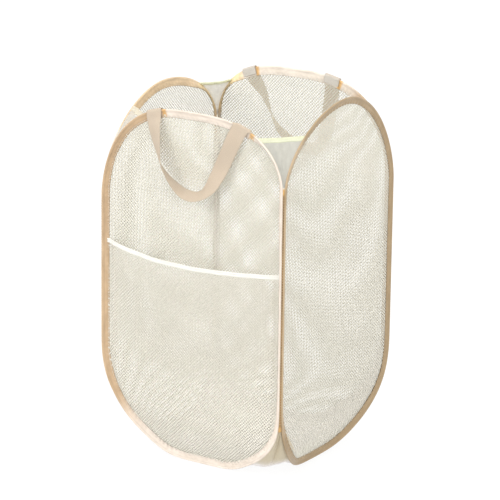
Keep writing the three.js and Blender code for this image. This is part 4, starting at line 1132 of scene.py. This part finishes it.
# ---------------------------------------------------------------- corner seams
def seam(c):
    """The two beads are whipped to each other down the straight corner, over a narrow folded strip."""
    (k0, s0), (k1, s1) = MEETS[c]
    x, y = CORNER[c][0] * WIDTH_X / 2, CORNER[c][1] * WIDTH_Y / 2
    zs = np.linspace(V_BOT[c] - 3, V_TOP[c] + 9, 260)

    def rim_u(k, sg):
        w = HALF[k] - SEAM_INSET
        uu, zz = upper_arc(k, sg, np.linspace(0, 1, 1500))
        ul, zl = lower_arc(k, sg, np.linspace(0, 1, 1500))
        q = np.where(zs > V_TOP[c], np.interp(zs, zz, np.abs(uu)), np.where(zs < V_BOT[c], np.interp(zs, zl, np.abs(ul)), w))
        return sg * (q * (1 + SNUG / w) - 1.3)
    a = on_panel(k0, rim_u(k0, s0), zs)
    b = on_panel(k1, rim_u(k1, s1), zs)
    mid = np.stack([0 * zs + x, 0 * zs + y, zs], 1)
    inward = unit(np.array([-CORNER[c][0], -CORNER[c][1], 0.0]))
    f = np.linspace(0, 1, 9)[None, :, None]
    wob = (0.18 * field1(260, 6, 77 + ord(c), False))[:, None, None]
    P = (1 - f) ** 2 * a[:, None] + 2 * f * (1 - f) * (mid + inward * 2.0)[:, None] + f ** 2 * b[:, None] + inward * (0.25 * np.sin(f * np.pi * 3) + wob * np.sin(np.pi * f))
    V, F = slab(P, 0.34)
    # painted shade: the strip stands in for the shadow in the gap between the beads, dark brown at the front right and
    # rear right and a darker tan at the front left; near white at the rear left, painted light lifting that crevice
    tone = np.array({"F": (0.97, 0.945, 0.91), "L": (0.62, 0.50, 0.36)}.get(c, (0.330, 0.205, 0.088))) * (1 + 0.12 * field1(260, 14, 87 + ord(c), False))[:, None, None]
    # painted shade: an orange-brown at the front right's V and at its foot, the shaded satin in those notches
    if c == "N":
        up = smooth((zs - V_TOP[c] + 6) / 6)[:, None, None]
        tone = tone * (1 - up) + np.array([0.72, 0.44, 0.16]) * up
        down = smooth((V_BOT[c] + 8 - zs) / 6)[:, None, None]
        tone = tone * (1 - down) + np.array([0.60, 0.37, 0.14]) * down
    fade = smooth((zs - V_TOP[c] - 5) / 4)[:, None, None]
    tone = tone * (1 - fade) + np.array([0.84, 0.82, 0.75]) * fade
    tint = np.tile(np.broadcast_to(tone, (260, 9, 3)).reshape(-1, 3), (2, 1))
    tc = np.tile(np.stack([np.broadcast_to(f[..., 0] * 7, (260, 9)), np.broadcast_to(zs[:, None], (260, 9))], -1).reshape(-1, 2), (2, 1))
    strip = make(f"{CORNER_NAME[c]}_seam_strip", V, F, SATIN, None, (f"{CORNER_NAME[c]}_corner_seam",), tc, tint)
    # whipping
    m = int((V_TOP[c] - V_BOT[c] - 14) / 4.4)
    z = V_BOT[c] + 8 + (np.arange(m) + 0.5) * 4.4
    A = on_panel(k0, 0 * z + s0 * (HALF[k0] - SEAM_INSET + SNUG - 1.0), z) + OUT[k0] * 1.35
    B = on_panel(k1, 0 * z + s1 * (HALF[k1] - SEAM_INSET + SNUG - 1.0), z + 1.6) + OUT[k1] * 1.35
    d = B - A
    mid = (A + B) / 2 - inward * 0.2
    up = np.tile(-inward, (m, 1))
    V, F, tcs = thread_bits(mid, unit(d), up, np.linalg.norm(d, axis=1) * 1.02, 0.26, 0.24)
    # the whipping is cream at the rear left and tan elsewhere, following the strips' painted light and shade
    whip = make(f"{CORNER_NAME[c]}_seam_stitching", V, F, THREAD_PALE if c == "F" else THREAD_TAN, None, (), tcs)
    return strip, whip


SEAMS = {c: seam(c) for c in "NLRF"}


# ---------------------------------------------------------------- base sheet
def rim_half(k, sign):
    """Loop indices from mid foot up to the straight side, on one side of panel k."""
    L = LOOPS[k]
    v = V_BOT[SIDES[k][0 if sign < 0 else 1]]
    i = np.arange(L.n)
    ok = (L.z <= v + 0.01) & ((L.u * sign) >= -0.8)
    i = i[ok]
    return i[np.argsort((L.s[i] if sign > 0 else L.length - L.s[i]) % L.length)]


def floor_wrinkle(x, y):
    r = np.hypot(x, y)
    return 0.16 * field2(x, y, 501, 120, 3) + 0.05 * field2(x, y, 502, 30, 2) + 0 * r


def base_points(c, half=None, layer=0.0, s_end=0.0, reach=None, rows=60):
    """A part of the base: from the lap inside the lower bindings, over the lower arcs, down to the floor's middle."""
    (k0, s0), (k1, s1) = MEETS[c]
    walk = []
    for k, sg, rev in ((k0, s0, False), (k1, s1, True)):
        i = rim_half(k, sg)
        i = i[::3]
        if rev:
            i = i[::-1]
        if half is None or half == k:
            walk.append((k, i))
    lap, low, edge = [], [], []
    for k, i in walk:
        L = LOOPS[k]
        ph = L.roll[i]

        def pt(d, h):
            dd = BEAD + (d - BEAD) * np.cos(ph) + h * np.sin(ph)
            hh = -(d - BEAD) * np.sin(ph) + h * np.cos(ph)
            q = L.p[i] + L.e[i] * dd[:, None] + L.m[i] * hh[:, None]
            return q
        lap.append(np.stack([pt(17.5, -1.75), pt(15, -1.85), pt(12, -1.9), pt(8, -2.1), pt(5, -2.55), pt(3.2, -3.0)], 0))
        edge.append(pt(2.0, -3.3))
    lap, edge = np.concatenate(lap, 1), np.concatenate(edge)
    # rows towards the middle
    x, y = edge[:, 0], edge[:, 1]
    s1v = np.full(len(x), s_end)
    if reach is not None:
        cx, cy = CORNER[c][0] * WIDTH_X / 2, CORNER[c][1] * WIDTH_Y / 2
        for _ in range(1):
            ss = np.linspace(0, 1, 400)
            dist = np.hypot(x[:, None] * ss - cx, y[:, None] * ss - cy)
            s1v = np.maximum(s_end, np.array([ss[np.argmax(d <= reach)] if (d <= reach).any() else 0.5 for d in dist]))
    q = np.linspace(0, 1, rows) ** 0.9
    S = 1 - (1 - s1v)[None] * q[1:, None]
    X, Y = x[None] * S, y[None] * S
    g = np.clip((S - 0.5) / 0.5, 0, 1) ** 2.2
    Z = BASE_Z + (edge[:, 2][None] - BASE_Z) * g
    cx, cy = CORNER[c]
    slope = g * smooth(edge[:, 2][None] / 30)
    # soft folds that run from the corner towards the middle
    th = np.arctan2(Y * cy, X * cx)
    folds = np.sin(th * 21 + ord(c)) * 0.9 + np.sin(th * 37 + 2 * ord(c)) * 0.5
    Z = Z + slope * (1.2 * folds * np.sin(np.pi * np.clip((S - 0.5) / 0.5, 0, 1)) + 0.8 * field2(X, Y, 520 + ord(c), 44, 3) * np.sin(np.pi * np.clip((S - 0.5) / 0.5, 0, 1)))
    # the layers lie on each other in the middle, and meet at the rim
    Z = Z + floor_wrinkle(X, Y) * (1 - slope) + layer * smooth((1 - S) / 0.12)
    rowsP = np.stack([X, Y, np.maximum(Z, 0.35)], -1)
    return np.concatenate([lap, edge[None], rowsP], 0)


BASE = {}
LAYER = {"L": 1.05, "N": 0.30, "R": -0.45, "Fl": -1.1, "Fr": 0.65}


def base_piece(name, P, replace=False):
    V, F = slab(P, 0.16)
    V[:, 2] = np.maximum(V[:, 2], 0.12)
    rows, cols = P.shape[:2]
    tc = np.tile(P[..., :2].reshape(-1, 2), (2, 1))
    # up the slopes the weave follows the cloth, not the plan
    tc = np.column_stack([tc, np.tile(P[..., 2].reshape(-1), 2)])
    # shaded and a little yellower where it fills the notch at the front right corner
    near = np.hypot(V[:, 0] - WIDTH_X / 2, V[:, 1] + WIDTH_Y / 2)
    w = (1 - smooth((near - 48) / 34))[:, None]
    tint = np.ones((len(V), 3)) * (1 - w) + np.array([[0.72, 0.66, 0.50]]) * w
    return make(name, V, F, BASEMAT, None, ("base_sheet",), tc, tint)


for c in "NLR":
    P = base_points(c, layer=LAYER[c], reach=None if c == "N" else 203.0)
    BASE[c] = base_piece(f"base_{CORNER_NAME[c]}", P)
# the two halves at the rear left each reach just past the line where they meet
HALVES = {key: base_points("F", half=k, layer=LAYER[key]) for k, key in (("C", "Fl"), ("D", "Fr"))}
ENDS = {key: min((0, -1), key=lambda e, P=P: float(np.hypot(P[6, e, 0] + WIDTH_X / 2, P[6, e, 1] - WIDTH_Y / 2))) for key, P in HALVES.items()}
for k, key, other, lift in (("C", "Fl", "Fr", -0.25), ("D", "Fr", "Fl", 0.25)):
    P, mine, far = HALVES[key], HALVES[key][:, ENDS[key]], HALVES[other][:, ENDS[other]]
    more = []
    for f in (0.2, 0.4, 0.6):
        q = mine * (1 - f) + far * f
        q[:, 2] += lift * f / 0.6
        more.append(q)
    more = np.stack(more, 1)
    P = np.concatenate([P, more], 1) if ENDS[key] == -1 else np.concatenate([more[:, ::-1], P], 1)
    BASE[key] = base_piece(f"base_rear_left_{NAME[k]}", P)
# the middle of the floor
r, th = np.linspace(0.5, 118, 34), np.linspace(0, 2 * np.pi, 97)[:-1]
X, Y = r[:, None] * np.cos(th)[None], r[:, None] * np.sin(th)[None]
P = np.stack([X, Y, 0.62 + 0 * X + 0.5 * floor_wrinkle(X, Y)], -1)
Pc = np.concatenate([P, P[:, :1]], 1)
N_up = np.zeros_like(P)
N_up[..., 2] = 1
rows, cols = P.shape[:2]
Vd = np.concatenate([(P + N_up * 0.16).reshape(-1, 3), (P - N_up * 0.16).reshape(-1, 3)])
top = tube_faces(rows, cols, False, True)
nn = rows * cols
ring = np.arange(cols)
last = (rows - 1) * cols + ring
Fd = [top, top[:, ::-1] + nn, np.column_stack([np.roll(last, -1), last, last + nn, np.roll(last, -1) + nn]),
      np.column_stack([ring, np.roll(ring, -1), np.roll(ring, -1) + nn, ring + nn])]
BASE["disc"] = make("base_middle", Vd, Fd, BASEMAT, None, ("base_sheet",), np.tile(P.reshape(-1, 3), (2, 1)), np.ones((len(Vd), 3)))


# ---------------------------------------------------------------- handles
def catmull(P, n):
    P = np.asarray(P, float)
    Q = np.concatenate([2 * P[:1] - P[1:2], P, 2 * P[-1:] - P[-2:-1]])
    seg = np.linalg.norm(np.diff(P[:, :3], axis=0), axis=1) ** 0.5
    t = np.concatenate([[0], np.cumsum(seg)])
    out = []
    for x in np.linspace(0, t[-1], n):
        i = min(len(P) - 2, int(np.searchsorted(t, x, side="right") - 1))
        s = (x - t[i]) / (t[i + 1] - t[i])
        p0, p1, p2, p3 = Q[i], Q[i + 1], Q[i + 2], Q[i + 3]
        t0 = t[i] - t[max(i - 1, 0)] if i > 0 else t[1] - t[0]
        t1 = t[i + 1] - t[i]
        t2 = (t[i + 2] - t[i + 1]) if i + 2 < len(t) else t1
        m1 = (p2 - p1) + t1 * ((p1 - p0) / t0 - (p2 - p0) / (t0 + t1))
        m2 = (p2 - p1) + t1 * ((p3 - p2) / t2 - (p3 - p1) / (t1 + t2))
        h = s * s * (3 - 2 * s)
        out.append((1 - h) * p1 + h * p2 + (s ** 3 - 2 * s * s + s) * m1 + (s ** 3 - s * s) * m2)
    return np.array(out)


def strap(k, path, ends, body, key):
    L = LOOPS[k]
    out = OUT[k]
    flip = 1 if k == "D" else -1
    centre = np.array([(x, flip * (WIDTH_Y / 2 + y), z) for x, y, z, _ in path])

    def rim_at(u):
        cand = np.where(L.z > TOP_Z[k] - 30)[0]
        return cand[np.argmin(np.abs(L.u[cand] - u))]
    W = []
    for i, p in enumerate(centre):
        t = unit(centre[min(i + 1, len(centre) - 1)] - centre[max(0, i - 1)])
        flat = unit(np.cross(t, out))
        psi = math.radians(path[i][3])
        w = flat * math.cos(psi) + out * math.sin(psi)
        w = unit(w - (w @ t) * t)
        if i in (0, len(centre) - 1):
            rim = L.t3[rim_at(ends[0] if i == 0 else ends[1])]
            w = unit(w + 1.5 * rim * np.sign(rim @ w))
        W.append(w)
    W = np.array(W)
    # inside the rim, over the bead, and down outside to meet the free run
    over = [(12.4, -1.95), (10, -2.0), (7, -2.15), (4.4, -2.5), (2.2, -2.9), (0.2, -2.75), (-1.15, -1.7), (-1.6, 0.1), (-1.1, 1.9)]

    def end_points(u, w_near):
        j = rim_at(u)
        c, s = math.cos(L.roll[j]), math.sin(L.roll[j])
        q = np.array([L.p[j] + L.e[j] * (BEAD + (d - BEAD) * c + h * s) + L.m[j] * (-(d - BEAD) * s + h * c) for d, h in over])
        side = unit(L.t3[j] * np.sign(L.t3[j] @ w_near) + 0.6 * w_near)
        return q, side
    a, side_a = end_points(ends[0], W[1])
    b, side_b = end_points(ends[1], W[-2])
    allp = np.concatenate([a, centre, b[::-1]])
    allw = np.concatenate([np.tile(side_a, (len(a), 1)), W, np.tile(side_b, (len(b), 1))])
    n = 420
    Q = catmull(np.concatenate([allp, allw], 1), n)
    s, length, (Q,) = resample(Q[:, :3], n, False, Q)
    P, Wd = Q[:, :3], unit(Q[:, 3:])
    t = unit(np.gradient(P, axis=0))
    Wd = unit(Wd - (Wd * t).sum(1, keepdims=True) * t)
    for u_end, dist in ((ends[0], s), (ends[1], length - s)):
        rim = L.t3[rim_at(u_end)]
        rim = rim * np.sign(rim @ Wd[np.argmin(np.abs(dist - 16))])
        skew = rim[None] / np.sqrt(np.maximum(0.6, 1 - (t @ rim) ** 2))[:, None]
        share = (1 - smooth((dist - 21) / 20))[:, None]
        Wd = Wd * (1 - share) + skew * share
    H = unit(np.cross(t, Wd))
    # flat rounded section, slightly cupped where it hangs free
    m = 15
    x = np.linspace(-1, 1, m)
    halfw = STRAP_WIDTH / 2 * (1 + 0.012 * field1(n, 25, 601 + ord(k), False))
    free = smooth((s - 30) / 30) * smooth((length - 30 - s) / 30)
    cup = 0.4 * free * (0.6 + 0.4 * field1(n, 50, 611 + ord(k), False))
    edge = np.sqrt(np.maximum(0.0, 1 - np.abs(x) ** 14)) * 0.86 + 0.14
    topv = P[:, None] + Wd[:, None] * (halfw[:, None] * x[None])[..., None] + H[:, None] * (STRAP_HALF * edge[None] * (1 - 0.22 * (np.abs(x[None]) > 0.93)) + cup[:, None] * (x[None] ** 2 - 0.33))[..., None]
    botv = P[:, None] + Wd[:, None] * (halfw[:, None] * x[None])[..., None] + H[:, None] * (-STRAP_HALF * edge[None] * (1 - 0.22 * (np.abs(x[None]) > 0.93)) + cup[:, None] * (x[None] ** 2 - 0.33))[..., None]
    # edge points round the selvedges
    r1 = P[:, None] + Wd[:, None] * (halfw[:, None] + 0.35)[..., None] + H[:, None] * (cup[:, None] * 0.67)[..., None]
    r0 = P[:, None] - Wd[:, None] * (halfw[:, None] + 0.35)[..., None] + H[:, None] * (cup[:, None] * 0.67)[..., None]
    ring = np.concatenate([topv, r1, botv[:, ::-1], r0], 1)
    rows, cols = ring.shape[:2]
    F = [tube_faces(rows, cols), fan_cap(np.arange(cols), True), fan_cap(np.arange(cols) + (rows - 1) * cols, False)]
    xx = np.concatenate([x * 14, [14.4], x[::-1] * 14, [-14.4]])
    tc = np.stack([np.broadcast_to(xx + 0.0, (rows, cols)), np.broadcast_to(s[:, None], (rows, cols))], -1)
    tone = 1 - 0.10 * smooth((np.abs(xx) - 12.4) / 1.4)
    tint = np.repeat((np.broadcast_to(tone, (rows, cols)) * (1 + 0.025 * field1(n, 30, 631 + ord(k), False))[:, None])[..., None], 3, 2)
    # painted highlight: the rear strap's sewn ends lighter and creamier, lit like the rear tape they lie on
    if k == "D":
        sewn = 1 - smooth((np.minimum(s, length - s) - 10) / 8)
        tint = tint * (1 + sewn[:, None, None] * np.array([0.03, 0.14, 0.30]))
    o = make(f"{key}_webbing", ring.reshape(-1, 3), F, WEB, None,
             (f"{key}_strap", f"{key}_sewn_end_left", f"{key}_sewn_end_right"), tc.reshape(-1, 2), tint.reshape(-1, 3))
    # box stitching through each sewn end, on its inner face
    pts, al, up = [], [], []
    for q0, sd in ((0, side_a), (n - 1, side_b)):
        idx = np.arange(0, 16) if q0 == 0 else np.arange(n - 1, n - 17, -1)
        run = P[idx]
        ll = np.concatenate([[0], np.cumsum(np.linalg.norm(np.diff(run, axis=0), axis=1))])
        w = Wd[idx[3]]
        hh = H[idx[3]]
        inside = -out
        hh = hh * np.sign(hh @ inside)
        tt = unit(run[6] - run[0])
        for depth in (1.4, 8.6):
            base = np.array([np.interp(depth, ll, run[:, c]) for c in range(3)])
            for xo in np.arange(-11.5, 11.6, 3.0):
                pts.append(base + w * xo + hh * (STRAP_HALF + 0.05))
                al.append(w)
                up.append(hh)
        for xo in (-12.0, 12.0):
            for depth in (2.9, 5.2, 7.4):
                base = np.array([np.interp(depth, ll, run[:, c]) for c in range(3)])
                pts.append(base + w * xo + hh * (STRAP_HALF + 0.05))
                al.append(tt)
                up.append(hh)
    V, F, tcs = thread_bits(np.array(pts), np.array(al), np.array(up), 2.3, 0.26, 0.2)
    make(f"{key}_stitching", V, F, THREAD_PALE, body, (), tcs)
    return o, length


HANDLE_F, LEN_F = strap("A", FRONT_PATH, STRAP_FRONT_U, "front_panel", "front_handle")
HANDLE_R, LEN_R = strap("D", REAR_PATH, STRAP_REAR_U, "rear_panel", "rear_handle")


def across_corner(obj, c):
    """Bakes obj's transform into its mesh; the corner's two panels are looked up but not used."""
    (k0, s0), (k1, s1) = MEETS[c]
    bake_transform(obj)


for c in "NLR":
    for o in GUSSETS[c]:
        across_corner(o, c)
    for o in SEAMS[c]:
        across_corner(o, c)
    across_corner(BASE[c], c)
across_corner(BASE["disc"], "N")
for o in GUSSETS["F"]:
    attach(o, "rear_panel")
for o in SEAMS["F"]:
    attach(o, "rear_panel")
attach(BASE["Fl"], "left_panel")
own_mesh(BASE["Fl"])
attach(BASE["Fr"], "rear_panel")
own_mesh(BASE["Fr"])
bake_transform(HANDLE_F)
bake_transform(HANDLE_R)


# ---------------------------------------------------------------- the sheets' sizes and areas, worked out and left unused
def area_of(o):
    me = o.data
    return sum(p.area for p in me.polygons) / 2


for k in "ABCD":
    w, l = 2 * (HALF[k] - SEAM_INSET) / 1000, MEMBRANES[k].rise.w_of(TOP_Z[k]) / 1000
w, l = 2 * (HALF["A"] - SEAM_INSET) / 1000, 0.382
for c in "NLRF":
    cloth, hem, st = GUSSETS[c]
    V = np.array([v.co for v in cloth.data.vertices])
    A = area_of(cloth)
for key, o in BASE.items():
    V = np.array([v.co for v in o.data.vertices])
    A = area_of(o)
    w = float(np.ptp(V[:, 0]))
    l = max(float(np.ptp(V[:, 1])), A / w)
